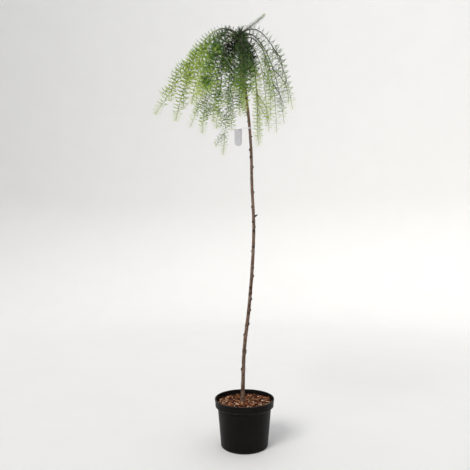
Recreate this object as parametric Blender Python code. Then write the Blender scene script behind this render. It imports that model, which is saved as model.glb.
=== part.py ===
"""A weeping larch grafted on a tall stem, in a round nursery pot topped with bark mulch.

Metres, +Z up. The origin is on the pot's axis, where its flat underside meets the floor.
Azimuths are in degrees round +Z: 0 is +X, the viewer's right, and 270 is towards the viewer.

A bough leaves a collar on the stem's head, rises and ends past the crest of its arch. There a
spray takes over and weeps: a shoot with side shoots, whose needles are drawn out of their sides.
Every shoot keeps to its own space, which is all that lies nearer to it than to any other shoot.
"""

import math
import random

import bmesh
import bpy
import numpy as np
from mathutils import Vector

SEED = 8358
FIT_GAP = 0.0003

# The pot and what fills it
POT_HEIGHT = 0.198
POT_RIM_RADIUS = 0.125
POT_BASE_RADIUS = 0.0985
POT_COLLAR_HEIGHT = 0.030
POT_COLLAR_TAPER = 0.003
POT_STEP = 0.0125
POT_STEP_HEIGHT = 0.007
POT_FOOT_CHAMFER = 0.003
POT_WALL = 0.0028
POT_FLOOR = 0.004
POT_SIDES = 36
SOIL_BELOW_RIM = 0.013
MULCH_RELIEF = 0.0045
MULCH_RINGS = 5
STEM_PAD_RADIUS = 0.021

# The stem: height, and how far it leans to the right of the pot's axis there
STEM_LEAN = (
    (0.185, -0.008),
    (0.400, -0.001),
    (0.568, 0.018),
    (0.771, 0.034),
    (0.930, 0.039),
    (1.104, 0.031),
    (1.243, 0.028),
    (1.412, 0.014),
    (1.600, -0.011),
    (1.722, -0.025),
)
STEM_SWAY = 0.006
STEM_FOOT_RADIUS = 0.0082
STEM_TOP_RADIUS = 0.0050
STEM_FLARE = 0.0034
STEM_FLARE_HEIGHT = 0.035
STEM_SIDES = 9
STEM_RINGS = 24
HEAD_HEIGHT = 1.706
HEAD_RADIUS = 0.0125
HEAD_REACH = 0.030
HEAD_TOP = 0.58
SPUR_COUNT = 11
SPUR_HEIGHTS = (0.30, 1.55)
SPUR_TURN = 137.5
SPUR_LENGTH = 0.0045
LONG_SPUR_HEIGHT = 0.962
LONG_SPUR_LENGTH = 0.013
LONG_SPUR_AZIMUTH = 8.0

# Weeping boughs in tiers. Each has a reach, a drop, a lift of its arch at the shoulder's share of the
# reach, and a seat on the head. A stiff bough runs outwards to its tip, and a limp one hangs plumb.
# A bough straight to the front or the back has drop_at_front times its drop. A tier's draw seeds the
# small differences between its boughs.
TIERS = (
    {
        "count": 8,
        "azimuth": 189,
        "reach": 0.270,
        "drop": 0.337,
        "drop_at_front": 1.21,
        "lift": 0.111,
        "shoulder": 0.31,
        "stiff": 0.74,
        "seat": 0.010,
        "draw": 7079,
    },
    {
        "count": 8,
        "azimuth": 225,
        "reach": 0.219,
        "drop": 0.357,
        "drop_at_front": 0.723,
        "lift": 0.074,
        "shoulder": 0.37,
        "stiff": 0.09,
        "seat": -0.002,
        "draw": 4967,
    },
    {
        "count": 6,
        "azimuth": 204,
        "reach": 0.096,
        "drop": 0.434,
        "drop_at_front": 0.498,
        "lift": 0.0,
        "shoulder": 0.56,
        "stiff": 0.12,
        "seat": -0.014,
        "draw": 4351,
    },
)

# How much more a bough on the left reaches, drops and keeps its line than one towards the viewer
REACH_TO_LEFT = 0.21
DROP_TO_LEFT = -0.07
STIFF_TO_LEFT = 0.40
# Share of its lift that an arch straight to the front or the back keeps
LIFT_AT_FRONT = 0.10

SHAPE_JITTER = 0.113
AZIMUTH_JITTER = 5.0
SWIRL = 9.0
WOBBLE = 0.0035
COLLAR_LENGTH = 0.021
PAST_CREST = 0.022
BOUGH_BASE_RADIUS = 0.0033
BOUGH_TIP_RADIUS = 0.0022
BOUGH_SIDES = 6
BOUGH_RING_STEP = 0.022

# Side shoots of a spray: how many in each tier, where they leave the main shoot, and how they turn
SIDE_SHOOTS = (1, 1, 1)
SIDE_START = (0.40, 0.58)
SIDE_TURN = (15.0, 27.0)
SIDE_SHARE = (0.66, 0.86)
SIDE_TRIES = 14
SIDE_ROOT = 0.037
SIDE_OUT = (0.22, 0.46)
SIDE_DOWN = (0.76, 0.92)
SIDE_THINNER = 0.85
SHOOT_APART = 0.017

# Short shoots that stand up out of the head, and the leading shoot
TOP_COUNT = 4
TOP_AZIMUTH = 37.0
TOP_LENGTH = 0.050
TOP_RISE = 26.0
TOP_RISE_JITTER = (-8.0, 12.0)
TOP_LENGTH_JITTER = 0.15
TOP_SPREAD = 0.003
TOP_SEAT = 0.4
LEADER_TIP = (0.084, -0.012, 1.808)
LEADER_HANDLES = ((-0.012, -0.004, 1.745), (0.040, -0.010, 1.762))

# Shoots and needles. Each needle stands for a spray of the plant's own, larger than life.
SHOOT_RADIUS = 0.0018
SHOOT_TIP_RADIUS = 0.0008
NEEDLE_STEP = 0.0114
NEEDLE_LENGTH = 0.029
NEEDLE_JITTER = 0.16
NEEDLE_OUT = 0.93
NEEDLE_FORWARD = 0.28
NEEDLE_UP = 0.16
NEEDLE_CLEARANCE = 0.0030
LIMB_CLEARANCE = 0.0016
SHORTER = (1.0, 0.72, 0.48)
TWIST = math.radians(26)

# The blank name tag on the stem
TAG_HEIGHT = 1.334
TAG_WIDTH = 0.032
TAG_LENGTH = 0.072
TAG_THICKNESS = 0.0009
TAG_STRAP_HEIGHT = 0.006
TAG_ASIDE = 0.048
TAG_DROP = 0.004

CLOUD_STEP = 0.005
LINE_SAMPLES = 220

UP = np.array((0.0, 0.0, 1.0))


def heading(azimuth):
    """The level unit vector at an azimuth in degrees."""
    angle = math.radians(azimuth)
    return np.array((math.cos(angle), math.sin(angle), 0.0))


def mix(a, b, share):
    return a + (b - a) * share


def unit(vector):
    return vector / np.linalg.norm(vector)


class Line:
    """A smooth centre line, read by its length from the start."""

    def __init__(self, points):
        self.points = np.asarray(points, float)
        steps = np.linalg.norm(np.diff(self.points, axis=0), axis=1)
        self.marks = np.concatenate(([0.0], np.cumsum(steps)))
        self.length = float(self.marks[-1])

    def at(self, s):
        return np.stack([np.interp(s, self.marks, column) for column in self.points.T], axis=-1)

    def tangent(self, s):
        reach = self.length / LINE_SAMPLES
        return unit(self.at(min(s + reach, self.length)) - self.at(max(s - reach, 0.0)))

    def crest(self):
        """The length at which the line is highest."""
        return float(self.marks[int(np.argmax(self.points[:, 2]))])


def bezier_line(start, first, second, end, wobble=0.0, phase=0.0):
    """A line along a cubic Bezier curve, with a slight sideways wobble that dies out at its start."""
    t = np.linspace(0.0, 1.0, LINE_SAMPLES)[:, None]
    s = 1.0 - t
    points = start * s**3 + first * 3 * s * s * t + second * 3 * s * t * t + end * t**3
    across = np.cross(end - start, UP)
    if np.linalg.norm(across) > 1e-6:
        points = points + unit(across) * wobble * t * np.sin(math.tau * (1.3 * t + phase))
    return Line(points)


def stem_centre(height):
    """The stem's centre at a height: a smooth curve through the lean's stations."""
    heights = [station[0] for station in STEM_LEAN]
    leans = [station[1] for station in STEM_LEAN]
    k = int(np.clip(np.searchsorted(heights, height) - 1, 0, len(heights) - 2))
    before, after = max(k - 1, 0), min(k + 2, len(heights) - 1)
    step = heights[k + 1] - heights[k]
    slope_a = (leans[k + 1] - leans[before]) / (heights[k + 1] - heights[before]) * step
    slope_b = (leans[after] - leans[k]) / (heights[after] - heights[k]) * step
    t = float(np.clip((height - heights[k]) / step, 0.0, 1.0))
    lean = (
        (2 * t**3 - 3 * t**2 + 1) * leans[k]
        + (t**3 - 2 * t**2 + t) * slope_a
        + (-2 * t**3 + 3 * t**2) * leans[k + 1]
        + (t**3 - t**2) * slope_b
    )
    sway = STEM_SWAY * math.sin(math.tau * 1.4 * (height - heights[0]))
    return np.array((lean, sway, height))


def stem_radius(height):
    """Taper, root flare and the swelling of the grafted head."""
    foot, top = STEM_LEAN[0][0], HEAD_HEIGHT
    share = min(max((height - foot) / (top - foot), 0.0), 1.0)
    radius = mix(STEM_FOOT_RADIUS, STEM_TOP_RADIUS, share**0.7)
    radius += STEM_FLARE * math.exp(-(height - foot) / STEM_FLARE_HEIGHT * 2.5)
    from_head = abs(height - HEAD_HEIGHT) / HEAD_REACH
    if from_head < 1.0:
        radius = mix(radius, HEAD_RADIUS, math.cos(from_head * math.pi / 2) ** 1.3)
    return radius


def cloud_of(line, first):
    """Evenly spaced points along a line, from a length to its end."""
    count = max(2, int((line.length - first) / CLOUD_STEP))
    return line.at(np.linspace(first, line.length, count))


class Shoot:
    """A centre line and the length from which it bears needles, named for the spray it belongs to."""

    def __init__(self, owner, line, start, azimuth=0.0, side_shoots=0, radius=SHOOT_RADIUS):
        self.owner = owner
        self.line = line
        self.start = start
        self.azimuth = azimuth
        self.side_shoots = side_shoots
        self.radius = radius

    def cloud(self, first=0.0):
        return cloud_of(self.line, first)


def main_line(rng, tier, azimuth):
    """The arch and fall of one bough and its spray, from the head's axis to the shoot's tip."""
    jitter = lambda: 1.0 + rng.uniform(-SHAPE_JITTER, SHAPE_JITTER)
    start = stem_centre(HEAD_HEIGHT + tier["seat"])
    swirl = rng.uniform(-SWIRL, SWIRL)
    to_left = -math.cos(math.radians(azimuth))
    reach = tier["reach"] * (1.0 + REACH_TO_LEFT * to_left) * jitter()
    drop = tier["drop"] * (1.0 + DROP_TO_LEFT * to_left) * jitter()
    drop *= mix(tier["drop_at_front"], 1.0, abs(to_left))
    lift = tier["lift"] * (1.0 + REACH_TO_LEFT * to_left) * jitter()
    lift *= mix(LIFT_AT_FRONT, 1.0, abs(to_left))
    stiff = max(0.0, tier["stiff"] + STIFF_TO_LEFT * to_left)
    shoulder = start + heading(azimuth) * reach * tier["shoulder"] + UP * lift
    elbow = start + heading(azimuth + swirl / 2) * reach * mix(0.98, 0.58, stiff)
    elbow -= UP * drop * mix(0.05, 0.28, stiff)
    tip = start + heading(azimuth + swirl) * reach - UP * drop
    return bezier_line(start, shoulder, elbow, tip, WOBBLE, rng.random())


def side_line(rng, line, azimuth, seat):
    """A side shoot that leaves its spray's main shoot and weeps beside it."""
    s = line.length * seat
    start = line.at(s)
    turn = rng.uniform(*SIDE_TURN) * rng.choice((-1.0, 1.0))
    length = (line.length - s) * rng.uniform(*SIDE_SHARE)
    along = unit(line.tangent(s) + heading(azimuth + turn * 3.2) * 0.75)
    out = heading(azimuth + turn)
    tip = start + out * length * rng.uniform(*SIDE_OUT) - UP * length * rng.uniform(*SIDE_DOWN)
    return bezier_line(
        start,
        start + along * length * 0.36,
        tip + UP * length * 0.40 + out * length * 0.02,
        tip,
        WOBBLE,
        rng.random(),
    )


def nearest(points, cloud):
    """Each point's distance to the nearest point of a cloud."""
    return np.linalg.norm(points[:, None, :] - cloud[None, :, :], axis=2).min(axis=1)


def plan_shoots():
    """Every bough's line with its crest, and every shoot with the name of the spray it belongs to."""
    boughs, shoots = [], []
    number = 0
    for tier, sides in zip(TIERS, SIDE_SHOOTS):
        rng = random.Random(tier["draw"])
        for k in range(tier["count"]):
            number += 1
            turn = rng.uniform(-AZIMUTH_JITTER, AZIMUTH_JITTER)
            azimuth = tier["azimuth"] + 360.0 * k / tier["count"] + turn
            line = main_line(rng, tier, azimuth)
            split = line.crest() + PAST_CREST
            owner = f"weeping_spray_{number:02d}"
            boughs.append((f"bough_{number:02d}", line, split))
            shoots.append(Shoot(owner, line, split + FIT_GAP, azimuth, sides))
    rng = random.Random(SEED)
    top = stem_centre(HEAD_HEIGHT + HEAD_REACH * TOP_SEAT)
    for k in range(TOP_COUNT):
        azimuth = TOP_AZIMUTH + 360.0 * k / TOP_COUNT + rng.uniform(-AZIMUTH_JITTER, AZIMUTH_JITTER)
        start = top + heading(azimuth) * TOP_SPREAD
        length = TOP_LENGTH * (1.0 + rng.uniform(-TOP_LENGTH_JITTER, TOP_LENGTH_JITTER))
        rise = math.radians(TOP_RISE + rng.uniform(*TOP_RISE_JITTER))
        out, up = heading(azimuth) * length * math.cos(rise), UP * length * math.sin(rise)
        first = start + out * 0.10 + UP * length * 0.42
        line = bezier_line(start, first, start + out * 0.6 + up * 1.2, start + out + up)
        shoots.append(Shoot(f"top_spray_{k + 1}", line, COLLAR_LENGTH + FIT_GAP, azimuth))
    handles = [np.array(handle) for handle in LEADER_HANDLES]
    line = bezier_line(top, handles[0], handles[1], np.array(LEADER_TIP))
    shoots.append(Shoot("leading_shoot", line, COLLAR_LENGTH + FIT_GAP))
    for main in list(shoots):
        for _ in range(main.side_shoots):
            add_side_shoot(rng, main, shoots)
    return boughs, shoots


def add_side_shoot(rng, main, shoots):
    """Tries seeded side shoots until one stays clear of every other shoot."""
    others = [shoot.cloud() for shoot in shoots if shoot is not main]
    for _ in range(SIDE_TRIES):
        seat = rng.uniform(*SIDE_START)
        line = side_line(rng, main.line, main.azimuth, seat)
        own = main.cloud(main.line.length * seat + SIDE_ROOT)
        if nearest(cloud_of(line, SIDE_ROOT), np.concatenate(others + [own])).min() > SHOOT_APART:
            shoots.append(Shoot(main.owner, line, 0.0, main.azimuth, 0, SHOOT_RADIUS * SIDE_THINNER))
            return


def frames(line, stations, twist=0.0):
    """Centre, tangent and two cross directions at each station, carried along without spinning."""
    rows, normal = [], None
    for k, s in enumerate(stations):
        tangent = line.tangent(s)
        if normal is None:
            normal = np.cross(tangent, UP if abs(tangent[2]) < 0.9 else heading(0))
        normal = unit(normal - tangent * float(normal @ tangent))
        side = np.cross(tangent, normal)
        a = twist * k
        turned = normal * math.cos(a) + side * math.sin(a)
        rows.append((line.at(s), tangent, turned, np.cross(tangent, turned)))
    return rows


def tube_rings(rows, radii, sides):
    rings = []
    for (centre, _, normal, side), radius in zip(rows, radii):
        angles = [math.tau * k / sides for k in range(sides)]
        rings.append([centre + (normal * math.cos(a) + side * math.sin(a)) * radius for a in angles])
    return rings


def tube_mesh(mesh, rings, apexes=None):
    """A capped tube through the rings. A side face with an apex is drawn out to that point."""
    sides = len(rings[0])
    corners = [[mesh.verts.new(point) for point in ring] for ring in rings]
    mesh.faces.new(corners[0][::-1])
    mesh.faces.new(corners[-1])
    for i in range(len(rings) - 1):
        for k in range(sides):
            j = (k + 1) % sides
            around = (corners[i][k], corners[i][j], corners[i + 1][j], corners[i + 1][k])
            apex = apexes.get((i, k)) if apexes else None
            if apex is None:
                mesh.faces.new(around)
                continue
            point = mesh.verts.new(apex)
            for a, b in zip(around, around[1:] + around[:1]):
                mesh.faces.new((a, b, point))


def finish_mesh(name, mesh, material, smooth=False):
    """Turns a bmesh into a named object of triangles, with its faces pointing out."""
    bmesh.ops.recalc_face_normals(mesh, faces=mesh.faces)
    bmesh.ops.triangulate(mesh, faces=mesh.faces)
    data = bpy.data.meshes.new(name)
    mesh.to_mesh(data)
    mesh.free()
    obj = bpy.data.objects.new(name, data)
    bpy.context.scene.collection.objects.link(obj)
    obj.data.materials.append(material)
    if smooth:
        data.shade_smooth()
        data.set_sharp_from_angle(angle=math.radians(40))
    return obj


def fused(obj, parts):
    """Joins the parts to the object by one Boolean union, applies it and removes the parts."""
    group = bpy.data.collections.new(obj.name + "_parts")
    bpy.context.scene.collection.children.link(group)
    for part in parts:
        group.objects.link(part)
        bpy.context.scene.collection.objects.unlink(part)
    union = obj.modifiers.new("Union", "BOOLEAN")
    union.operation = "UNION"
    union.solver = "MANIFOLD"
    union.operand_type = "COLLECTION"
    union.collection = group
    graph = bpy.context.evaluated_depsgraph_get()
    joined = bpy.data.meshes.new_from_object(obj.evaluated_get(graph))
    obj.modifiers.remove(union)
    obj.data = joined
    for part in parts:
        bpy.data.objects.remove(part)
    bpy.data.collections.remove(group)
    return obj


def make_material(name, colour, roughness):
    material = bpy.data.materials.new(name)
    material.use_nodes = True
    shader = material.node_tree.nodes["Principled BSDF"]
    shader.inputs["Base Color"].default_value = (*colour, 1.0)
    shader.inputs["Roughness"].default_value = roughness
    shader.inputs["Metallic"].default_value = 0.0
    return material


def turned(name, profile, material, sides):
    """A solid turned round the Z axis from a profile that starts and ends on the axis."""
    mesh = bmesh.new()
    points = [mesh.verts.new((radius, 0.0, z)) for radius, z in profile]
    edges = [mesh.edges.new(pair) for pair in zip(points, points[1:])]
    bmesh.ops.spin(mesh, geom=points + edges, cent=(0, 0, 0), axis=(0, 0, 1), angle=math.tau, steps=sides)
    bmesh.ops.remove_doubles(mesh, verts=mesh.verts, dist=1e-6)
    return finish_mesh(name, mesh, material, smooth=True)


def pot_wall_radius(z):
    """The pot's outer radius below its collar."""
    shoulder = POT_HEIGHT - POT_COLLAR_HEIGHT - POT_STEP_HEIGHT
    return mix(POT_BASE_RADIUS, POT_RIM_RADIUS - POT_STEP, z / shoulder)


def collar_bore_radius(z):
    """The pot's inner radius inside its collar."""
    low, high = POT_HEIGHT - POT_COLLAR_HEIGHT + POT_WALL, POT_HEIGHT - POT_WALL / 2
    share = (z - low) / (high - low)
    return mix(POT_RIM_RADIUS - POT_COLLAR_TAPER - POT_WALL, POT_RIM_RADIUS - POT_WALL * 1.5, share)


def make_pot(material):
    """A tapered pot with a deep collar, a thin wall and a flat underside."""
    collar_bottom = POT_HEIGHT - POT_COLLAR_HEIGHT
    shoulder = collar_bottom - POT_STEP_HEIGHT
    outer = [
        (0.0, 0.0),
        (POT_BASE_RADIUS - POT_FOOT_CHAMFER, 0.0),
        (pot_wall_radius(POT_FOOT_CHAMFER), POT_FOOT_CHAMFER),
        (pot_wall_radius(shoulder), shoulder),
        (POT_RIM_RADIUS - POT_COLLAR_TAPER, collar_bottom),
        (POT_RIM_RADIUS, POT_HEIGHT - POT_WALL / 2),
        (POT_RIM_RADIUS - POT_WALL / 2, POT_HEIGHT),
    ]
    inner = [
        (collar_bore_radius(POT_HEIGHT - POT_WALL / 2), POT_HEIGHT - POT_WALL / 2),
        (collar_bore_radius(collar_bottom + POT_WALL), collar_bottom + POT_WALL),
        (pot_wall_radius(shoulder) - POT_WALL, shoulder),
        (pot_wall_radius(POT_FLOOR) - POT_WALL, POT_FLOOR),
        (0.0, POT_FLOOR),
    ]
    return turned("nursery_pot", outer + inner, material, POT_SIDES)


def make_soil(material):
    """Soil that fills the pot, with a rough top of bark chips and a flat pad under the stem."""
    rng = random.Random(SEED + 1)
    collar_bottom = POT_HEIGHT - POT_COLLAR_HEIGHT
    shoulder = collar_bottom - POT_STEP_HEIGHT
    top = POT_HEIGHT - SOIL_BELOW_RIM
    bottom = POT_FLOOR + FIT_GAP
    slack = POT_WALL + FIT_GAP * 2.5
    rim = collar_bore_radius(top) - FIT_GAP * 2.5
    profile = [
        (0.0, bottom),
        (pot_wall_radius(bottom) - slack, bottom),
        (pot_wall_radius(shoulder) - slack, shoulder),
        (collar_bore_radius(collar_bottom + POT_WALL) - FIT_GAP * 2.5, collar_bottom + POT_WALL * 1.4),
        (rim, top),
    ]
    for k in range(MULCH_RINGS, 0, -1):
        profile.append((mix(STEM_PAD_RADIUS, rim, k / (MULCH_RINGS + 1)), top))
    profile += [(STEM_PAD_RADIUS, top), (0.0, top)]
    soil = turned("bark_mulch_and_soil", profile, material, POT_SIDES)
    for vertex in soil.data.vertices:
        past_pad = math.hypot(vertex.co.x, vertex.co.y) - STEM_PAD_RADIUS
        if vertex.co.z > top - FIT_GAP and past_pad > FIT_GAP:
            vertex.co.z += rng.uniform(-1.0, 1.0) * MULCH_RELIEF
    return soil


def make_spur(azimuth, height, length, material):
    """The stub of a short shoot, rooted inside the stem."""
    centre = stem_centre(height)
    radius = stem_radius(height)
    lean = heading(azimuth) + UP * 0.45
    spur = Line([centre, centre + lean * (radius * 0.8), centre + unit(lean) * (radius + length)])
    rows = frames(spur, (0.0, spur.length * 0.55, spur.length))
    mesh = bmesh.new()
    tube_mesh(mesh, tube_rings(rows, (0.0026, 0.0021, 0.0011), 4))
    return finish_mesh("spur", mesh, material)


def make_collar(line, radius, material):
    """The swollen base that a bough leaves the head by, with a flat end for the bough to meet."""
    rows = frames(line, (0.004, COLLAR_LENGTH))
    mesh = bmesh.new()
    tube_mesh(mesh, tube_rings(rows, (radius * 1.3, radius), BOUGH_SIDES))
    return finish_mesh("collar", mesh, material)


def make_stem(boughs, shoots, material):
    """The whole stem, from a flat cut on the soil through its flare and taper to the grafted head."""
    rng = random.Random(SEED + 2)
    foot = STEM_LEAN[0][0] + FIT_GAP
    top = HEAD_HEIGHT + HEAD_REACH * HEAD_TOP
    heights = [foot, foot + 0.012, foot + 0.035]
    heights += list(np.linspace(foot + 0.08, HEAD_HEIGHT - HEAD_REACH, STEM_RINGS))
    heights += [HEAD_HEIGHT + HEAD_REACH * share for share in (-0.6, -0.3, 0.0, 0.3, HEAD_TOP)]
    mesh = bmesh.new()
    rings = []
    for number, height in enumerate(heights):
        knot = 1.0 + (0.09 * (number % 3 == 0) if 3 <= number < STEM_RINGS else 0.0)
        radius = stem_radius(height) * knot * (0.72 if height == top else 1.0)
        angles = [math.tau * (k + number * 0.11) / STEM_SIDES for k in range(STEM_SIDES)]
        centre = stem_centre(height)
        rings.append([centre + np.array((math.cos(a), math.sin(a), 0.0)) * radius for a in angles])
    tube_mesh(mesh, rings)
    stem = finish_mesh("stem", mesh, material, smooth=True)
    parts = [make_spur(LONG_SPUR_AZIMUTH, LONG_SPUR_HEIGHT, LONG_SPUR_LENGTH, material)]
    for k in range(SPUR_COUNT):
        height = mix(*SPUR_HEIGHTS, (k + rng.uniform(0.2, 0.8)) / SPUR_COUNT)
        if abs(height - TAG_HEIGHT) > 0.02:
            parts.append(make_spur(SPUR_TURN * k, height, SPUR_LENGTH, material))
    parts += [make_collar(line, BOUGH_BASE_RADIUS, material) for _, line, _ in boughs]
    for shoot in shoots:
        if not shoot.owner.startswith("weeping"):
            parts.append(make_collar(shoot.line, shoot.radius * 1.4, material))
    return fused(stem, parts)


def make_bough(name, line, split, material):
    """One tapering limb, from its collar to just past the crest of its arch."""
    first = COLLAR_LENGTH + FIT_GAP
    count = max(3, round((split - first) / BOUGH_RING_STEP) + 1)
    stations = np.linspace(first, split, count)
    radii = np.linspace(BOUGH_BASE_RADIUS, BOUGH_TIP_RADIUS, count)
    mesh = bmesh.new()
    tube_mesh(mesh, tube_rings(frames(line, stations), radii, BOUGH_SIDES))
    return finish_mesh(name, mesh, material, smooth=True)


def needle_points(corners, apex):
    """Points down the length of a needle and across its root, to be tried against its space."""
    return np.array([mix(corner, apex, share) for corner in corners for share in (0.3, 0.65, 1.0)])


def keeps_its_space(points, own, others, limbs):
    """Whether all the points lie nearer to their own shoot than to another, and clear of every limb."""
    apart = (nearest(points, own) + NEEDLE_CLEARANCE < nearest(points, others)).all()
    to_limbs = (np.linalg.norm(points[:, None, :] - limbs[None, :, :3], axis=2) - limbs[:, 3]).min()
    return bool(apart and to_limbs > LIMB_CLEARANCE)


def make_shoot(shoot, own, others, limbs, material, rng):
    """A three-sided twig whose side faces are drawn out into needles, two of each three."""
    span = shoot.line.length - shoot.start
    count = max(4, round(span / NEEDLE_STEP) + 1)
    stations = np.linspace(shoot.start, shoot.line.length, count)
    radii = np.linspace(shoot.radius, SHOOT_TIP_RADIUS, count)
    rows = frames(shoot.line, stations, TWIST)
    rings = tube_rings(rows, radii, 3)
    apexes = {}
    rooted = 0 if shoot.start else int(SHOOT_APART / NEEDLE_STEP) + 1
    near = others[np.linalg.norm(others - shoot.line.at(shoot.line.length / 2), axis=1) < span]
    for i in range(rooted, count - 1):
        for k in range(3):
            length = NEEDLE_LENGTH * (1.0 + rng.uniform(-NEEDLE_JITTER, NEEDLE_JITTER))
            length *= min(1.0, 0.62 + 0.6 * (count - 1 - i) / 6.0)
            if (i + k) % 3 == 0:
                continue
            corners = [rings[i][k], rings[i][(k + 1) % 3], rings[i + 1][(k + 1) % 3], rings[i + 1][k]]
            middle = sum(corners) / 4.0
            axis = (rows[i][0] + rows[i + 1][0]) / 2.0
            aim = unit(middle - axis) * NEEDLE_OUT + rows[i][1] * NEEDLE_FORWARD + UP * NEEDLE_UP
            for shorter in SHORTER:
                apex = middle + unit(aim) * length * shorter
                if keeps_its_space(needle_points(corners, apex), own, near, limbs):
                    apexes[i, k] = apex
                    break
    mesh = bmesh.new()
    tube_mesh(mesh, rings, apexes)
    return finish_mesh(shoot.owner, mesh, material)


def limb_cloud(boughs):
    """Points with radii down the stem, every bough and the tag, which no needle may touch."""
    rows = []
    for height in np.arange(STEM_LEAN[0][0], HEAD_HEIGHT + HEAD_REACH * 0.55, CLOUD_STEP):
        rows.append((*stem_centre(height), stem_radius(height) + 0.0005))
    for _, line, split in boughs:
        for s in np.arange(0.0, split, CLOUD_STEP):
            rows.append((*line.at(s), mix(BOUGH_BASE_RADIUS, BOUGH_TIP_RADIUS, s / split)))
    for share in np.linspace(0.0, 1.0, 12):
        rows.append((*tag_centre(share), TAG_WIDTH * 0.55))
    return np.array(rows)


def make_sprays(boughs, shoots, material):
    """Each spray as one solid: its main shoot, with its side shoots joined on."""
    rng = random.Random(SEED + 3)
    limbs = limb_cloud(boughs)
    clouds = [shoot.cloud() for shoot in shoots]
    made = {}
    for number, shoot in enumerate(shoots):
        others = np.concatenate([cloud for k, cloud in enumerate(clouds) if k != number])
        piece = make_shoot(shoot, clouds[number], others, limbs, material, rng)
        made.setdefault(shoot.owner, []).append(piece)
    for owner, pieces in made.items():
        pieces[0].name = owner
        if len(pieces) > 1:
            fused(pieces[0], pieces[1:])


def tag_centre(share):
    """A point down the middle of the hanging tag, from its top to its foot."""
    top = stem_centre(TAG_HEIGHT) + np.array((-TAG_ASIDE, -0.004, -TAG_DROP))
    return top - UP * TAG_LENGTH * share


def make_tag(material):
    """A blank name tag: a strap looped round the stem, and a plate with a round foot."""
    centre = stem_centre(TAG_HEIGHT)
    inner = stem_radius(TAG_HEIGHT) * 1.12 + FIT_GAP * 2
    mesh = bmesh.new()
    half = TAG_STRAP_HEIGHT / 2
    section = ((inner, -half), (inner + TAG_THICKNESS, -half), (inner + TAG_THICKNESS, half), (inner, half))
    points = [mesh.verts.new((radius, 0.0, z)) for radius, z in section]
    edges = [mesh.edges.new(pair) for pair in zip(points, points[1:] + points[:1])]
    bmesh.ops.spin(mesh, geom=points + edges, cent=(0, 0, 0), axis=(0, 0, 1), angle=math.tau, steps=14)
    bmesh.ops.remove_doubles(mesh, verts=mesh.verts, dist=1e-6)
    bmesh.ops.translate(mesh, verts=mesh.verts, vec=Vector(centre))
    loop = finish_mesh("name_tag", mesh, material)
    plate_top = tag_centre(0.0)
    outline = [(TAG_WIDTH / 2, 0.0), (TAG_WIDTH / 2, -TAG_LENGTH + TAG_WIDTH / 2)]
    for k in range(1, 6):
        angle = math.pi * k / 6
        across, down = math.cos(angle), math.sin(angle)
        outline.append((across * TAG_WIDTH / 2, -TAG_LENGTH + TAG_WIDTH / 2 * (1.0 - down)))
    outline += [(-TAG_WIDTH / 2, -TAG_LENGTH + TAG_WIDTH / 2), (-TAG_WIDTH / 2, 0.0)]
    mesh = bmesh.new()
    face = mesh.faces.new([mesh.verts.new(Vector(plate_top) + Vector((x, 0.0, z))) for x, z in outline])
    extruded = bmesh.ops.extrude_face_region(mesh, geom=[face])
    moved = [item for item in extruded["geom"] if isinstance(item, bmesh.types.BMVert)]
    bmesh.ops.translate(mesh, verts=moved, vec=(0.0, TAG_THICKNESS, 0.0))
    plate = finish_mesh("plate", mesh, material)
    on_plate = plate_top - UP * TAG_STRAP_HEIGHT
    on_loop = centre - heading(0) * (inner + TAG_THICKNESS / 2)
    hook = Line([on_plate, (plate_top + centre) / 2 - UP * 0.001, on_loop])
    rows = frames(hook, (0.0, hook.length / 2, hook.length))
    mesh = bmesh.new()
    tube_mesh(mesh, tube_rings(rows, (0.0016, 0.0014, 0.0016), 5))
    strap = finish_mesh("strap", mesh, material)
    return fused(loop, [plate, strap])


def main():
    for obj in list(bpy.data.objects):
        bpy.data.objects.remove(obj)
    bark = make_material("bark", (0.16, 0.09, 0.055), 0.85)
    young_bark = make_material("young_bark", (0.22, 0.15, 0.07), 0.8)
    needles = make_material("needles", (0.10, 0.24, 0.05), 0.6)
    plastic = make_material("pot_plastic", (0.012, 0.012, 0.013), 0.5)
    mulch = make_material("bark_mulch", (0.24, 0.10, 0.05), 0.9)
    tag = make_material("tag_plastic", (0.72, 0.71, 0.76), 0.5)
    boughs, shoots = plan_shoots()
    make_pot(plastic)
    make_soil(mulch)
    make_stem(boughs, shoots, bark)
    for name, line, split in boughs:
        make_bough(name, line, split, young_bark)
    make_sprays(boughs, shoots, needles)
    make_tag(tag)


main()
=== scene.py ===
"""Dresses a weeping larch standard: bark, shoots, needles, nursery pot, bark mulch and name tag.

The plant grows here by the same rule and the same seeded draws as its solids, so every shoot lies
where its solid lies. Fine twigs, tufts of single needles, bark relief and chips are added to it.
Metres, +Z up. Azimuths are in degrees round +Z: 0 is +X, and 270 is towards the camera.
"""

import math
import random
from dataclasses import dataclass

import bpy
import numpy as np
from bpy.props import FloatProperty, FloatVectorProperty, IntProperty, PointerProperty
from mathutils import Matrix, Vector, noise


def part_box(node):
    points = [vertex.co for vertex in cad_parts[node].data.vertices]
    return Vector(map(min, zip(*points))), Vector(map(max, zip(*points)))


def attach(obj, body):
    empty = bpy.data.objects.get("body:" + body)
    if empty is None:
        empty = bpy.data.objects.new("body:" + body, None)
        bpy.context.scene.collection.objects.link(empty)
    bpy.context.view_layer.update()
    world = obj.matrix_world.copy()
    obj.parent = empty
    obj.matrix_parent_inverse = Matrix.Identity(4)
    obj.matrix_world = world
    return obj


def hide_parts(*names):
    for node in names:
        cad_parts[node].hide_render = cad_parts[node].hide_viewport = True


bl_info = {
    "name": "Weeping larch standard",
    "version": (1, 0, 0),
    "blender": (4, 5, 0),
    "location": "View3D > Sidebar > Larch",
    "description": "Grows a grafted weeping larch with bark, shoots and needles in a nursery pot",
    "category": "Add Mesh",
}

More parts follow.
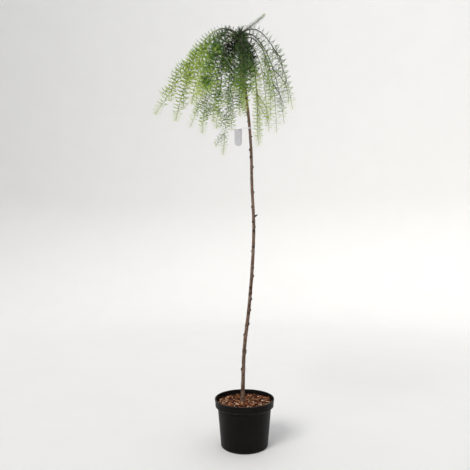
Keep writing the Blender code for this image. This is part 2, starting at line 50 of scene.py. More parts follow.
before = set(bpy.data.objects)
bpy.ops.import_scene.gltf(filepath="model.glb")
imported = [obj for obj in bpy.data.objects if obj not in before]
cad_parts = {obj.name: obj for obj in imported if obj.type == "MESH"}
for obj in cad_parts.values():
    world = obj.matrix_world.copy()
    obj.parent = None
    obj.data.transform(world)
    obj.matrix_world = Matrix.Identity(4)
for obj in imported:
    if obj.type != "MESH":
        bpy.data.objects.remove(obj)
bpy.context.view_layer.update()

# The rule of the plant's solids, in the same sizes and draws
SEED = 8358
FIT_GAP = 0.0003
# The stem: height, and how far it leans to the right of the pot's axis there
STEM_LEAN = (
    (0.185, -0.008), (0.400, -0.001), (0.568, 0.018), (0.771, 0.034), (0.930, 0.039),
    (1.104, 0.031), (1.243, 0.028), (1.412, 0.014), (1.600, -0.011), (1.722, -0.025),
)
STEM_SWAY = 0.006
STEM_FOOT_RADIUS = 0.0082
STEM_TOP_RADIUS = 0.0050
STEM_FLARE = 0.0034
STEM_FLARE_HEIGHT = 0.035
HEAD_HEIGHT = 1.706
HEAD_RADIUS = 0.0125
HEAD_REACH = 0.030
HEAD_TOP = 0.58
SPUR_COUNT = 11
SPUR_HEIGHTS = (0.30, 1.55)
SPUR_TURN = 137.5
SPUR_LENGTH = 0.0045
LONG_SPUR_HEIGHT = 0.962
LONG_SPUR_LENGTH = 0.013
LONG_SPUR_AZIMUTH = 8.0

# Weeping boughs in tiers. Each has a reach, a drop, a lift of its arch at the shoulder's share of the
# reach, and a seat on the head. A stiff bough runs outwards to its tip, and a limp one hangs plumb.
# A bough straight to the front or the back has drop_at_front times its drop. A tier's draw seeds the
# small differences between its boughs.
TIERS = (
    dict(count=8, azimuth=189, reach=0.270, drop=0.337, drop_at_front=1.21, lift=0.111, shoulder=0.31,
         stiff=0.74, seat=0.010, draw=7079),
    dict(count=8, azimuth=225, reach=0.219, drop=0.357, drop_at_front=0.723, lift=0.074, shoulder=0.37,
         stiff=0.09, seat=-0.002, draw=4967),
    dict(count=6, azimuth=204, reach=0.096, drop=0.434, drop_at_front=0.498, lift=0.0, shoulder=0.56,
         stiff=0.12, seat=-0.014, draw=4351),
)

# How much more a bough on the left reaches, drops and keeps its line than one towards the viewer
REACH_TO_LEFT = 0.21
DROP_TO_LEFT = -0.07
STIFF_TO_LEFT = 0.40
# Share of its lift that an arch straight to the front or the back keeps
LIFT_AT_FRONT = 0.10

SHAPE_JITTER = 0.113
AZIMUTH_JITTER = 5.0
SWIRL = 9.0
WOBBLE = 0.0035
COLLAR_LENGTH = 0.021
PAST_CREST = 0.022
BOUGH_BASE_RADIUS = 0.0033
BOUGH_TIP_RADIUS = 0.0022

# Side shoots of a spray: how many in each tier, where they leave the main shoot, and how they turn
SIDE_SHOOTS = (1, 1, 1)
SIDE_START = (0.40, 0.58)
SIDE_TURN = (15.0, 27.0)
SIDE_SHARE = (0.66, 0.86)
SIDE_TRIES = 14
SIDE_ROOT = 0.037
SIDE_OUT = (0.22, 0.46)
SIDE_DOWN = (0.76, 0.92)
SIDE_THINNER = 0.85
SHOOT_APART = 0.017

# Short shoots that stand up out of the head, and the leading shoot
TOP_COUNT = 4
TOP_AZIMUTH = 37.0
TOP_LENGTH = 0.050
TOP_RISE = 26.0
TOP_RISE_JITTER = (-8.0, 12.0)
TOP_LENGTH_JITTER = 0.15
TOP_SPREAD = 0.003
TOP_SEAT = 0.4
LEADER_TIP = (0.084, -0.012, 1.808)
LEADER_HANDLES = ((-0.012, -0.004, 1.745), (0.040, -0.010, 1.762))

# Thickness of the shoots, and the name tag
SHOOT_RADIUS = 0.0018
SHOOT_TIP_RADIUS = 0.0008
TAG_HEIGHT = 1.334
TAG_WIDTH = 0.032
TAG_LENGTH = 0.072
TAG_THICKNESS = 0.0009
TAG_STRAP_HEIGHT = 0.006
TAG_ASIDE = 0.048
TAG_DROP = 0.004
CLOUD_STEP = 0.005
LINE_SAMPLES = 220

UP = np.array((0.0, 0.0, 1.0))


def heading(azimuth):
    """The level unit vector at an azimuth in degrees."""
    angle = math.radians(azimuth)
    return np.array((math.cos(angle), math.sin(angle), 0.0))


def mix(a, b, share):
    return a + (b - a) * share


def unit(vector):
    return vector / np.linalg.norm(vector)


def units(vectors):
    """Each row of an array, made one long."""
    return vectors / np.maximum(np.linalg.norm(vectors, axis=1), 1e-9)[:, None]


class Line:
    """A smooth centre line, read by its length from the start."""

    def __init__(self, points):
        self.points = np.asarray(points, float)
        steps = np.linalg.norm(np.diff(self.points, axis=0), axis=1)
        self.marks = np.concatenate(([0.0], np.cumsum(steps)))
        self.length = float(self.marks[-1])

    def at(self, s):
        return np.stack([np.interp(s, self.marks, column) for column in self.points.T], axis=-1)

    def tangent(self, s):
        reach = self.length / LINE_SAMPLES
        return unit(self.at(min(s + reach, self.length)) - self.at(max(s - reach, 0.0)))

    def crest(self):
        """The length at which the line is highest."""
        return float(self.marks[int(np.argmax(self.points[:, 2]))])


def bezier_line(start, first, second, end, wobble=0.0, phase=0.0):
    """A line along a cubic Bezier curve, with a slight sideways wobble that dies out at its start."""
    t = np.linspace(0.0, 1.0, LINE_SAMPLES)[:, None]
    s = 1.0 - t
    points = start * s**3 + first * 3 * s * s * t + second * 3 * s * t * t + end * t**3
    across = np.cross(end - start, UP)
    if np.linalg.norm(across) > 1e-6:
        points = points + unit(across) * wobble * t * np.sin(math.tau * (1.3 * t + phase))
    return Line(points)


def stem_centre(height):
    """The stem's centre at a height: a smooth curve through the lean's stations."""
    heights, leans = zip(*STEM_LEAN)
    k = int(np.clip(np.searchsorted(heights, height) - 1, 0, len(heights) - 2))
    before, after = max(k - 1, 0), min(k + 2, len(heights) - 1)
    step = heights[k + 1] - heights[k]
    slope_a = (leans[k + 1] - leans[before]) / (heights[k + 1] - heights[before]) * step
    slope_b = (leans[after] - leans[k]) / (heights[after] - heights[k]) * step
    t = float(np.clip((height - heights[k]) / step, 0.0, 1.0))
    lean = (
        (2 * t**3 - 3 * t**2 + 1) * leans[k]
        + (t**3 - 2 * t**2 + t) * slope_a
        + (-2 * t**3 + 3 * t**2) * leans[k + 1]
        + (t**3 - t**2) * slope_b
    )
    sway = STEM_SWAY * math.sin(math.tau * 1.4 * (height - heights[0]))
    return np.array((lean, sway, height))


def stem_radius(height):
    """Taper, root flare and the swelling of the grafted head."""
    foot, top = STEM_LEAN[0][0], HEAD_HEIGHT
    share = min(max((height - foot) / (top - foot), 0.0), 1.0)
    radius = mix(STEM_FOOT_RADIUS, STEM_TOP_RADIUS, share**0.7)
    radius += STEM_FLARE * math.exp(-(height - foot) / STEM_FLARE_HEIGHT * 2.5)
    from_head = abs(height - HEAD_HEIGHT) / HEAD_REACH
    if from_head < 1.0:
        radius = mix(radius, HEAD_RADIUS, math.cos(from_head * math.pi / 2) ** 1.3)
    return radius


def cloud_of(line, first):
    """Evenly spaced points along a line, from a length to its end."""
    count = max(2, int((line.length - first) / CLOUD_STEP))
    return line.at(np.linspace(first, line.length, count))


@dataclass
class Shoot:
    """A centre line and the length from which it bears needles, named for the spray it belongs to."""

    owner: str
    line: Line
    start: float
    azimuth: float = 0.0
    side_shoots: int = 0
    radius: float = SHOOT_RADIUS
    tier: int = 0

    def cloud(self, first=0.0):
        return cloud_of(self.line, first)


def main_line(rng, tier, azimuth):
    """The arch and fall of one bough and its spray, from the head's axis to the shoot's tip."""
    jitter = lambda: 1.0 + rng.uniform(-SHAPE_JITTER, SHAPE_JITTER)
    start = stem_centre(HEAD_HEIGHT + tier["seat"])
    swirl = rng.uniform(-SWIRL, SWIRL)
    to_left = -math.cos(math.radians(azimuth))
    reach = tier["reach"] * (1.0 + REACH_TO_LEFT * to_left) * jitter()
    drop = tier["drop"] * (1.0 + DROP_TO_LEFT * to_left) * jitter()
    drop *= mix(tier["drop_at_front"], 1.0, abs(to_left))
    lift = tier["lift"] * (1.0 + REACH_TO_LEFT * to_left) * jitter()
    lift *= mix(LIFT_AT_FRONT, 1.0, abs(to_left))
    stiff = max(0.0, tier["stiff"] + STIFF_TO_LEFT * to_left)
    shoulder = start + heading(azimuth) * reach * tier["shoulder"] + UP * lift
    elbow = start + heading(azimuth + swirl / 2) * reach * mix(0.98, 0.58, stiff)
    elbow -= UP * drop * mix(0.05, 0.28, stiff)
    tip = start + heading(azimuth + swirl) * reach - UP * drop
    return bezier_line(start, shoulder, elbow, tip, WOBBLE, rng.random())


def side_line(rng, line, azimuth, seat):
    """A side shoot that leaves its spray's main shoot and weeps beside it."""
    s = line.length * seat
    start = line.at(s)
    turn = rng.uniform(*SIDE_TURN) * rng.choice((-1.0, 1.0))
    length = (line.length - s) * rng.uniform(*SIDE_SHARE)
    along = unit(line.tangent(s) + heading(azimuth + turn * 3.2) * 0.75)
    out = heading(azimuth + turn)
    tip = start + out * length * rng.uniform(*SIDE_OUT) - UP * length * rng.uniform(*SIDE_DOWN)
    elbow = tip + UP * length * 0.40 + out * length * 0.02
    return bezier_line(start, start + along * length * 0.36, elbow, tip, WOBBLE, rng.random())


def nearest(points, cloud):
    """Each point's distance to the nearest point of a cloud."""
    return np.linalg.norm(points[:, None, :] - cloud[None, :, :], axis=2).min(axis=1)


def plan_shoots():
    """Every bough's line with its crest, and every shoot with the name of the spray it belongs to."""
    boughs, shoots = [], []
    number = 0
    for level, (tier, sides) in enumerate(zip(TIERS, SIDE_SHOOTS)):
        rng = random.Random(tier["draw"])
        for k in range(tier["count"]):
            number += 1
            turn = rng.uniform(-AZIMUTH_JITTER, AZIMUTH_JITTER)
            azimuth = tier["azimuth"] + 360.0 * k / tier["count"] + turn
            line = main_line(rng, tier, azimuth)
            split = line.crest() + PAST_CREST
            owner = f"weeping_spray_{number:02d}"
            boughs.append((f"bough_{number:02d}", line, split))
            shoots.append(Shoot(owner, line, split + FIT_GAP, azimuth, sides, tier=level))
    rng = random.Random(SEED)
    top = stem_centre(HEAD_HEIGHT + HEAD_REACH * TOP_SEAT)
    for k in range(TOP_COUNT):
        azimuth = TOP_AZIMUTH + 360.0 * k / TOP_COUNT + rng.uniform(-AZIMUTH_JITTER, AZIMUTH_JITTER)
        start = top + heading(azimuth) * TOP_SPREAD
        length = TOP_LENGTH * (1.0 + rng.uniform(-TOP_LENGTH_JITTER, TOP_LENGTH_JITTER))
        rise = math.radians(TOP_RISE + rng.uniform(*TOP_RISE_JITTER))
        out, up = heading(azimuth) * length * math.cos(rise), UP * length * math.sin(rise)
        first = start + out * 0.10 + UP * length * 0.42
        line = bezier_line(start, first, start + out * 0.6 + up * 1.2, start + out + up)
        shoots.append(Shoot(f"top_spray_{k + 1}", line, COLLAR_LENGTH + FIT_GAP, azimuth))
    handles = [np.array(handle) for handle in LEADER_HANDLES]
    line = bezier_line(top, handles[0], handles[1], np.array(LEADER_TIP))
    shoots.append(Shoot("leading_shoot", line, COLLAR_LENGTH + FIT_GAP))
    for main in list(shoots):
        for _ in range(main.side_shoots):
            add_side_shoot(rng, main, shoots)
    return boughs, shoots


def add_side_shoot(rng, main, shoots):
    """Tries seeded side shoots until one stays clear of every other shoot."""
    others = [shoot.cloud() for shoot in shoots if shoot is not main]
    for _ in range(SIDE_TRIES):
        seat = rng.uniform(*SIDE_START)
        line = side_line(rng, main.line, main.azimuth, seat)
        own = main.cloud(main.line.length * seat + SIDE_ROOT)
        if nearest(cloud_of(line, SIDE_ROOT), np.concatenate(others + [own])).min() > SHOOT_APART:
            radius = SHOOT_RADIUS * SIDE_THINNER
            shoots.append(Shoot(main.owner, line, 0.0, main.azimuth, 0, radius, main.tier))
            return


BOUGHS, SHOOTS = plan_shoots()


# Detail that the solids don't carry: the stem's knots, each by height and azimuth
KNOTS = (
    (1.244, 200.0), (1.212, 225.0), (1.172, 340.0), (1.120, 80.0), (1.066, 335.0), (1.003, 215.0),
    (0.940, 225.0), (0.902, 262.0), (0.834, 275.0), (0.790, 120.0), (0.746, 300.0), (0.712, 345.0),
    (0.663, 240.0), (0.640, 300.0), (0.615, 350.0), (0.568, 345.0), (0.509, 350.0), (0.463, 180.0),
    (0.420, 60.0), (0.395, 350.0), (0.318, 200.0),
)
KNOT_HEIGHT = 0.0036
KNOT_REACH = 0.0064
KNOT_DARK_ABOVE = 0.0012
# Every knot also swells the stem all round, by this share of its height
KNOT_RING = 0.09
# How ragged the edges of knots and stains are, and how far lumps stand out on the stem and on its head
RAGGED_EDGE = 0.0009
STEM_LUMP = 0.0007
HEAD_LUMP = 0.0018
# Stains: how strong their noise must be at the foot to show, and how much more it takes a metre up
STAIN_LEAST = -0.14
STAIN_LESS_UP = 0.58
# Radii of the spurs at their foot and tip, how steeply they rise and how lumpy they are
SPUR_RADIUS = 0.0036
LONG_SPUR_RADIUS = 0.0062
SPUR_TIP_RADIUS = 0.0019
SPUR_RISE = 0.45
SPUR_LUMP = 0.14
SPUR_RINGS = 9
SPUR_SIDES = 10
# How far the stem's mesh runs on below its solid, and over which length its top closes
STEM_BELOW_SOLID = 0.004
STEM_CLOSING = 0.006
# Furrows of the bark, broad and fine: how crowded they are round the stem and up it, and how deep. The
# head's bark is rougher.
FURROWS = (420.0, 60.0, 0.7)
FINE_FURROWS = (900.0, 190.0, 0.45)
HEAD_ROUGHER = 1.6

# The boughs' bark: rings, sides, swelling at the head, knobs down the limb, and share of the relief
LIMB_RING_STEP = 0.0024
LIMB_SIDES = 12
LIMB_SWELL = 0.0016
LIMB_SWELL_REACH = 0.010
LIMB_KNOB_STEP = 0.0085
LIMB_KNOB = 0.10
LIMB_RELIEF = 0.42

# The shoots' stems: rings, sides, and the knobs that bear the tufts
SHOOT_RING_STEP = 0.0028
SHOOT_SIDES = 7
SHOOT_KNOB = 0.30

# The pot: its wall, floor and collar, the step and slope under the collar, the radius of its foot, and
# the rounding of its edges
POT_WALL = 0.0028
POT_FLOOR = 0.0040
POT_COLLAR = 0.030
POT_STEP = 0.0125
POT_SLOPE = 0.007
POT_BASE = 0.0985
POT_ROUNDING = 0.0012
CORNER_STEPS = 4
POT_SIDES = 144

# The mulch: its level, its mounds, the heap in its middle and its rise to the front right
MULCH_LEVEL = 0.180
MULCH_MOUND = 0.0026
MULCH_WAVES = 24.0
MULCH_HEAP = 0.0028
MULCH_RISE = 0.0028
SOIL_BELOW_CHIPS = 0.0022
# The soil's side: its radius at the foot, then how far inside the pot's wall it is at some heights
SOIL_FOOT = 0.0950
SOIL_SIDE = ((0.0115, 0.158), (0.0015, 0.172), (0.0010, MULCH_LEVEL))
# The chips' finishes, with the share of each. Slivers of bare wood are smaller than chips of bark, and so
# bright that they are painted glints as well.
# Widths, thicknesses and bends are shares of a chip's length. A chip is a pile of rings of corners, each
# by its level and its share of the outline.
CHIP_KINDS = ("red_bark_chip", "brown_bark_chip", "tan_bark_chip", "pale_wood_chip")
CHIP_SHARES = (0.28, 0.33, 0.21, 0.18)
PALE_AND_GLINT_CHIP_SIZE = 0.76
CHIP_SPREAD = 0.36
LONGEST_CHIP = 0.034
CHIP_CORNERS = (5, 8)
CHIP_CORNER_TURN = 0.32
CHIP_CORNER_REACH = (0.78, 1.12)
CHIP_RINGS = ((-0.5, 0.80), (-0.28, 1.0), (0.22, 0.98), (0.5, 0.78))
CHIP_RAGGED = 0.06
CHIP_UNEVEN = 0.08
CHIP_WIDTHS = (0.34, 0.75)
CHIP_THICKNESSES = (0.10, 0.26)
CHIP_BENDS = (-0.10, 0.16)
CHIP_TILT = 0.34
# The depth of the layers of chips, and how clear of the stem's axis they lie
CHIP_LAYERS = 0.0052
STEM_CLEARANCE = 0.0125
# How far a chip's middle lies in from the pot's wall and sinks below the level, how near the wall its
# corners come, and how far the topmost stand above the solid
CHIP_FROM_WALL = 0.004
CHIP_SUNK = 0.0012
CHIP_CORNER_GAP = 0.0012
CHIP_ABOVE_SOLID = 0.0035

# Fine twigs in each tier: how many leave a bough's shoot, where, and their lengths. A look may add
# longer ones of its own.
FINE_COUNT = (2, 1, 8)
FINE_SPAN = ((0.36, 0.84), (0.34, 0.70), (0.03, 0.32))
FINE_LENGTH = ((0.035, 0.070), (0.035, 0.070), (0.045, 0.080))
TWIG_SPAN = (0.40, 0.86)
TWIG_LENGTH = (0.050, 0.090)
TWIG_RADIUS = 0.0009

# Where needles begin on the arches, the side shoots, the twigs and the leading shoot
ARCH_NEEDLES_FROM = 0.048
SIDE_NEEDLES_FROM = 0.012
TWIG_NEEDLES_FROM = 0.008
LEADER_NEEDLES_FROM = COLLAR_LENGTH + 0.026
# Where the stems of the leading shoot, the top sprays and the twigs begin
LEADER_STEM_FROM = 0.010
TOP_STEM_FROM = 0.008
TWIG_STEM_FROM = 0.001
# An arch bears fewer and shorter needles than the shoot, none on its underside, and the shoot fills up
# over a length past the crest
ARCH_FULLNESS = 0.30
ARCH_NEEDLE_SIZE = 0.56
ARCH_BARE_BELOW = 0.42
ARCH_FILLS_OVER = 0.110

# The brown share of a strand's stem, from dull strands to those of a bright tone, and on the side away from
# the light, where the browner stem is a painted shade
BROWN_SHARES = (1.00, 0.18)
BRIGHT_TONE = 0.66
SHADE_SIDE_BROWN = 0.95

# Painted shade: tones are deep near the head. New growth is lighter.
SHADE_REACH = 0.21
SHADE_LEAST = 0.27
NEW_GROWTH_LIGHTER = 0.12
# In the crowded core under the head tones are deeper, a painted shade, and tufts may be fuller, by a number
# for each tier
CORE_ASIDE = 0.022
CORE_REACH = 0.108
CORE_FOOT = 1.545
CORE_DEPTH = 0.08
CORE_PAINTED_SHADE = (0.42, 0.56, 0.82)
CORE_FULLER = (0.0, 0.0, 1.45)
TONES = ("shade", "deep", "dark", "mid", "fresh", "lime", "pale")
# The tones that have a darker, bluer counterpart in painted shade for the side away from the light, and its
# number among the finishes
SHADE_SIDE_TONES = {3: 7, 4: 8}

# A needle's sides, its rings by their places down it and their share of its width, and its flatness
NEEDLE_SIDES = 3
NEEDLE_RINGS = ((0.0, 0.60), (0.38, 1.0), (0.74, 0.80))
NEEDLE_FLATNESS = 0.75
# The angle from tuft to tuft round a shoot
GOLDEN_TURN = math.radians(137.508)
# A tuft's needles: how far they lean along the shoot and rise, each with its spread, and the ranges of
# their lengths and widths. Then the ranges of the single needles.
NEEDLE_LEAN = (0.50, 0.06)
NEEDLE_LIFT = (0.88, 0.07)
NEEDLE_LENGTHS = (0.80, 1.12)
NEEDLE_WIDTHS = (0.85, 1.15)
SINGLE_LENGTHS = (0.82, 1.1)
SINGLE_WIDTHS = (0.85, 1.1)

# The tag: how far it hangs in front of the stem, its corners and slot, the narrow bevels of its slot and
# edge, the rings of its face, its bow across and its belly down. Then the strap's mesh and thin tail.
TAG_FORWARD = 0.004
TAG_HALF = TAG_WIDTH / 2
TAG_CORNER = 0.003
TAG_SLOT_DROP = 0.0065
TAG_SLOT = (0.0042, 0.0014)
TAG_SIDES = 96
TAG_EDGE_STEPS = 400
TAG_SLOT_BEVEL = 0.0003
TAG_EDGE_BEVEL = 0.0005
TAG_RINGS = (0.12, 0.35, 0.6, 0.8)
TAG_BOW = 0.0016
TAG_BELLY = 0.0012
STRAP_SIDES = 12
STRAP_STEPS = 40
STRAP_TAIL = (0.0022, 0.0005)

# The camera that takes the photograph's view
CAMERA_PLACE = (0.0, -1.933, 0.8046)
CAMERA_LENS = 35.08
CAMERA_SENSOR = 36.0
CAMERA_SHIFT = (-0.0202, 0.0404)

# The light's turn and softness in degrees, and the floor's flat reach, bend and height
SUN_TURN = (48.0, 0.0, -38.0)
SUN_SOFTNESS = 28.0
SUN_COLOUR = (1.0, 0.97, 0.93)
SKY_COLOUR = (0.93, 0.96, 1.0, 1.0)
FLOOR_FLAT = 3.3
FLOOR_BEND = 1.6
FLOOR_RISE = 5.5


# Meshes


class Pile:
    """Points and triangles gathered for one joined mesh, with a finish number for each triangle."""

    def __init__(self):
        self.points = []
        self.triangles = []
        self.finishes = []
        self.count = 0

    def add(self, points, triangles, finish=0):
        self.points.append(points)
        self.triangles.append(triangles + self.count)
        self.finishes.append(np.broadcast_to(np.asarray(finish), (len(triangles),)))
        self.count += len(points)

    def build(self, name, materials, smooth=True):
        points = np.concatenate(self.points)
        triangles = np.concatenate(self.triangles)
        data = bpy.data.meshes.new(name)
        data.vertices.add(len(points))
        data.vertices.foreach_set("co", points.astype(np.float32).ravel())
        data.loops.add(triangles.size)
        data.loops.foreach_set("vertex_index", triangles.astype(np.int32).ravel())
        data.polygons.add(len(triangles))
        data.polygons.foreach_set("loop_start", np.arange(0, triangles.size, 3, dtype=np.int32))
        for material in materials:
            data.materials.append(material)
        data.polygons.foreach_set("material_index", np.concatenate(self.finishes).astype(np.int32))
        data.update(calc_edges=True)
        data.validate()
        if smooth:
            data.shade_smooth()
        obj = bpy.data.objects.new(name, data)
        bpy.context.scene.collection.objects.link(obj)
        return obj


def quads(a, b, c, d):
    """Two triangles for each four corners."""
    return np.concatenate([np.stack(corners, -1).reshape(-1, 3) for corners in ((a, b, c), (a, c, d))])


def grid_triangles(rings, sides, closed=False):
    """Triangles between rings of points, and from the last ring back to the first where it is asked."""
    ring = np.arange(rings - 1)[:, None] * sides
    k = np.arange(sides)[None, :]
    j = (k + 1) % sides
    found = [quads(ring + k, ring + j, ring + sides + j, ring + sides + k)]
    if closed:
        last = (rings - 1) * sides
        found.append(quads(last + k, last + j, j, k))
    return np.concatenate(found)


def cap_triangles(first, sides, flip=False):
    """A fan that closes one ring of points."""
    k = np.arange(1, sides - 1)
    fan = np.stack([np.full_like(k, first), first + k, first + k + 1], -1)
    return fan[:, ::-1] if flip else fan


def carried(tangents):
    """Two cross directions for each tangent down a line, carried along without spinning."""
    normal = np.cross(tangents[0], UP if abs(tangents[0][2]) < 0.9 else heading(0))
    normals = np.empty_like(tangents)
    for k, tangent in enumerate(tangents):
        normal = unit(normal - tangent * float(normal @ tangent))
        normals[k] = normal
    return normals, np.cross(tangents, normals)


def frames_at(line, stations):
    """A line's tangent and its two cross directions at each station."""
    tangents = np.array([line.tangent(s) for s in stations])
    return tangents, *carried(tangents)


def around(normals, across, angles):
    """Directions square to a line, each turned by its angle round it."""
    return normals * np.cos(angles)[..., None] + across * np.sin(angles)[..., None]


def turns_of(sides):
    return np.arange(sides) / sides * math.tau


def tube_triangles(rings, sides):
    """Triangles of rings of points closed at both ends."""
    ends = [cap_triangles(0, sides, flip=True), cap_triangles((rings - 1) * sides, sides)]
    return np.concatenate([grid_triangles(rings, sides), *ends])


def tube(centres, radii, sides):
    """Points and triangles of a closed tube. radii has one number a ring, or one a point of the ring."""
    normals, across = carried(units(np.gradient(centres, axis=0)))
    radii = np.asarray(radii, float)
    radii = radii[:, None] if radii.ndim == 1 else radii
    out = around(normals[:, None, :], across[:, None, :], turns_of(sides)[None, :])
    points = (centres[:, None, :] + out * radii[:, :, None]).reshape(-1, 3)
    return points, tube_triangles(len(centres), sides)


def lathe(profile, sides):
    """Rings of points from a profile's radii and heights."""
    radii, heights = np.asarray(profile, float).T[:, :, None]
    angles = turns_of(sides)
    level = np.broadcast_to(heights, (len(heights), sides))
    return np.stack([radii * np.cos(angles), radii * np.sin(angles), level], -1).reshape(-1, 3)


def turned(name, profile, sides, materials):
    """A closed shape turned round the Z axis from a profile that starts and ends on the axis."""
    middle = profile[1:-1]
    ends = [(0.0, 0.0, profile[0][1]), (0.0, 0.0, profile[-1][1])]
    points = np.concatenate([lathe(middle, sides), ends])
    k = np.arange(sides)
    j = (k + 1) % sides
    last = (len(middle) - 1) * sides
    low, high = len(points) - 2, len(points) - 1
    foot = np.stack([j, k, np.full_like(k, low)], -1)
    crown = np.stack([last + k, last + j, np.full_like(k, high)], -1)
    pile = Pile()
    pile.add(points, np.concatenate([grid_triangles(len(middle), sides), foot, crown]))
    return pile.build(name, materials)


def rounded(points, radius):
    """A profile's points, with each inner corner replaced by a small arc."""
    points = [np.array(point, float) for point in points]
    found = [points[0]]
    for before, corner, after in zip(points, points[1:], points[2:]):
        back, on = before - corner, after - corner
        reach = min(radius, np.linalg.norm(back) * 0.45, np.linalg.norm(on) * 0.45)
        start, end = corner + unit(back) * reach, corner + unit(on) * reach
        for t in np.linspace(0.0, 1.0, CORNER_STEPS):
            found.append(start * (1 - t) ** 2 + corner * 2 * t * (1 - t) + end * t**2)
    found.append(points[-1])
    return found


# Materials


def add_node(tree, kind, feeds=None, **values):
    """A shader node with its settings and inputs, and what feeds its other inputs.

    An underscore in an input's name stands for a space. A node that feeds gives its first output."""
    node = tree.nodes.new(kind)
    for name, value in values.items():
        label = name.replace("_", " ")
        if label in node.inputs:
            node.inputs[label].default_value = value
        else:
            setattr(node, name, value)
    for label, source in (feeds or {}).items():
        source = source.outputs[0] if isinstance(source, bpy.types.Node) else source
        tree.links.new(source, node.inputs[label])
    return node


def new_group(name, inputs, outputs):
    """An empty shader group with named sockets, its inputs, and its end."""
    tree = bpy.data.node_groups.new(name, "ShaderNodeTree")
    kinds = {"colour": "NodeSocketColor", "number": "NodeSocketFloat"}
    for label, value in inputs.items():
        kind = "number" if isinstance(value, float) else "colour"
        socket = tree.interface.new_socket(name=label, in_out="INPUT", socket_type=kinds[kind])
        socket.default_value = value
    for label, kind in outputs.items():
        tree.interface.new_socket(name=label, in_out="OUTPUT", socket_type=kinds[kind])
    return tree, tree.nodes.new("NodeGroupInput").outputs, tree.nodes.new("NodeGroupOutput").inputs


def noise_by_place(tree, given, detail, roughness):
    """Noise over the plant at the group's scale, stretched along the height where the group says so."""
    place = tree.nodes.new("ShaderNodeTexCoord").outputs["Object"]
    if "Height stretch" in given:
        parts = add_node(tree, "ShaderNodeSeparateXYZ", {0: place}).outputs
        height = add_node(
            tree, "ShaderNodeMath", {0: parts["Z"], 1: given["Height stretch"]}, operation="DIVIDE"
        )
        place = add_node(tree, "ShaderNodeCombineXYZ", {"X": parts["X"], "Y": parts["Y"], "Z": height})
    feeds = {"Vector": place, "Scale": given["Scale"]}
    return add_node(tree, "ShaderNodeTexNoise", feeds, Detail=detail, Roughness=roughness).outputs["Fac"]


def patches_group():
    """Two colours in soft patches of a given size, stretched along the height, with their mask."""
    tree, given, out = new_group(
        "Soft patches",
        {
            "Colour": (0.5, 0.5, 0.5, 1.0),
            "Patch colour": (0.4, 0.4, 0.4, 1.0),
            "Scale": 20.0,
            "Height stretch": 1.0,
            "Amount": 0.5,
            "Sharpness": 0.3,
        },
        {"Colour": "colour", "Mask": "number"},
    )
    centre = add_node(tree, "ShaderNodeMapRange", {"Value": given["Amount"]}, To_Min=0.66, To_Max=0.34)
    spread = add_node(tree, "ShaderNodeMapRange", {"Value": given["Sharpness"]}, To_Min=0.30, To_Max=0.02)
    low = add_node(tree, "ShaderNodeMath", {0: centre, 1: spread}, operation="SUBTRACT")
    high = add_node(tree, "ShaderNodeMath", {0: centre, 1: spread}, operation="ADD")
    feeds = {"Value": noise_by_place(tree, given, 4.0, 0.62), "From Min": low, "From Max": high}
    mask = add_node(tree, "ShaderNodeMapRange", feeds, interpolation_type="SMOOTHSTEP")
    blend_over(tree, given["Colour"], given["Patch colour"], mask, out)
    return tree


def blend_over(tree, under, over, mask, out):
    """Puts one colour over another by a mask, and gives out the mix and its mask."""
    blend = add_node(tree, "ShaderNodeMix", data_type="RGBA")
    tree.links.new(mask.outputs[0], blend.inputs["Factor"])
    tree.links.new(under, blend.inputs[6])
    tree.links.new(over, blend.inputs[7])
    tree.links.new(blend.outputs[2], out["Colour"])
    tree.links.new(mask.outputs[0], out["Mask"])


def grain_group():
    """Fine grain as a height, and as a roughness between two values."""
    tree, given, out = new_group(
        "Fine grain",
        {"Scale": 300.0, "Height stretch": 1.0, "Smoothest": 0.4, "Roughest": 0.7},
        {"Height": "number", "Roughness": "number"},
    )
    height = noise_by_place(tree, given, 5.0, 0.7)
    feeds = {"Value": height, "To Min": given["Smoothest"], "To Max": given["Roughest"]}
    rough = add_node(tree, "ShaderNodeMapRange", feeds, From_Min=0.3, From_Max=0.7)
    tree.links.new(height, out["Height"])
    tree.links.new(rough.outputs[0], out["Roughness"])
    return tree


def dust_and_highlight_group():
    """Pale dust that lies on faces that look up, broken up by fine patches, and a painted highlight where
    those faces catch the light.
    """
    tree, given, out = new_group(
        "Settled dust",
        {
            "Colour": (0.02, 0.02, 0.02, 1.0),
            "Dust colour": (0.3, 0.27, 0.24, 1.0),
            "Amount": 0.4,
            "Scale": 90.0,
        },
        {"Colour": "colour", "Mask": "number"},
    )
    facing = tree.nodes.new("ShaderNodeNewGeometry").outputs["Normal"]
    height = add_node(tree, "ShaderNodeSeparateXYZ", {0: facing}).outputs["Z"]
    upward = add_node(tree, "ShaderNodeMapRange", {"Value": height}, From_Min=0.1, From_Max=0.95)
    fine = noise_by_place(tree, given, 4.0, 0.6)
    speckle = add_node(tree, "ShaderNodeMapRange", {"Value": fine}, From_Min=0.38, From_Max=0.62)
    both = add_node(tree, "ShaderNodeMath", {0: upward, 1: speckle}, operation="MULTIPLY")
    share = add_node(tree, "ShaderNodeMath", {0: both, 1: given["Amount"]}, operation="MULTIPLY")
    blend_over(tree, given["Colour"], given["Dust colour"], share, out)
    return tree


GROUPS = {}


def use_group(tree, name, values):
    """A shared group placed in a material with its own values. It is built the first time."""
    makers = {"patches": patches_group, "grain": grain_group, "dust": dust_and_highlight_group}
    if name not in GROUPS:
        GROUPS[name] = makers[name]()
    node = tree.nodes.new("ShaderNodeGroup")
    node.node_tree = GROUPS[name]
    for label, value in values.items():
        socket = node.inputs[label]
        socket.default_value = (*value, 1.0) if socket.type == "RGBA" and len(value) == 3 else value
    return node


def patches_of(colour, scale, amount=0.5, sharpness=0.3, stretch=1.0):
    """Values for soft patches of a colour."""
    values = {"Patch colour": colour, "Scale": scale, "Amount": amount, "Sharpness": sharpness}
    return {**values, "Height stretch": stretch}


def grain_of(scale, smoothest, roughest, stretch=1.0):
    """Values for fine grain."""
    return {"Scale": scale, "Smoothest": smoothest, "Roughest": roughest, "Height stretch": stretch}


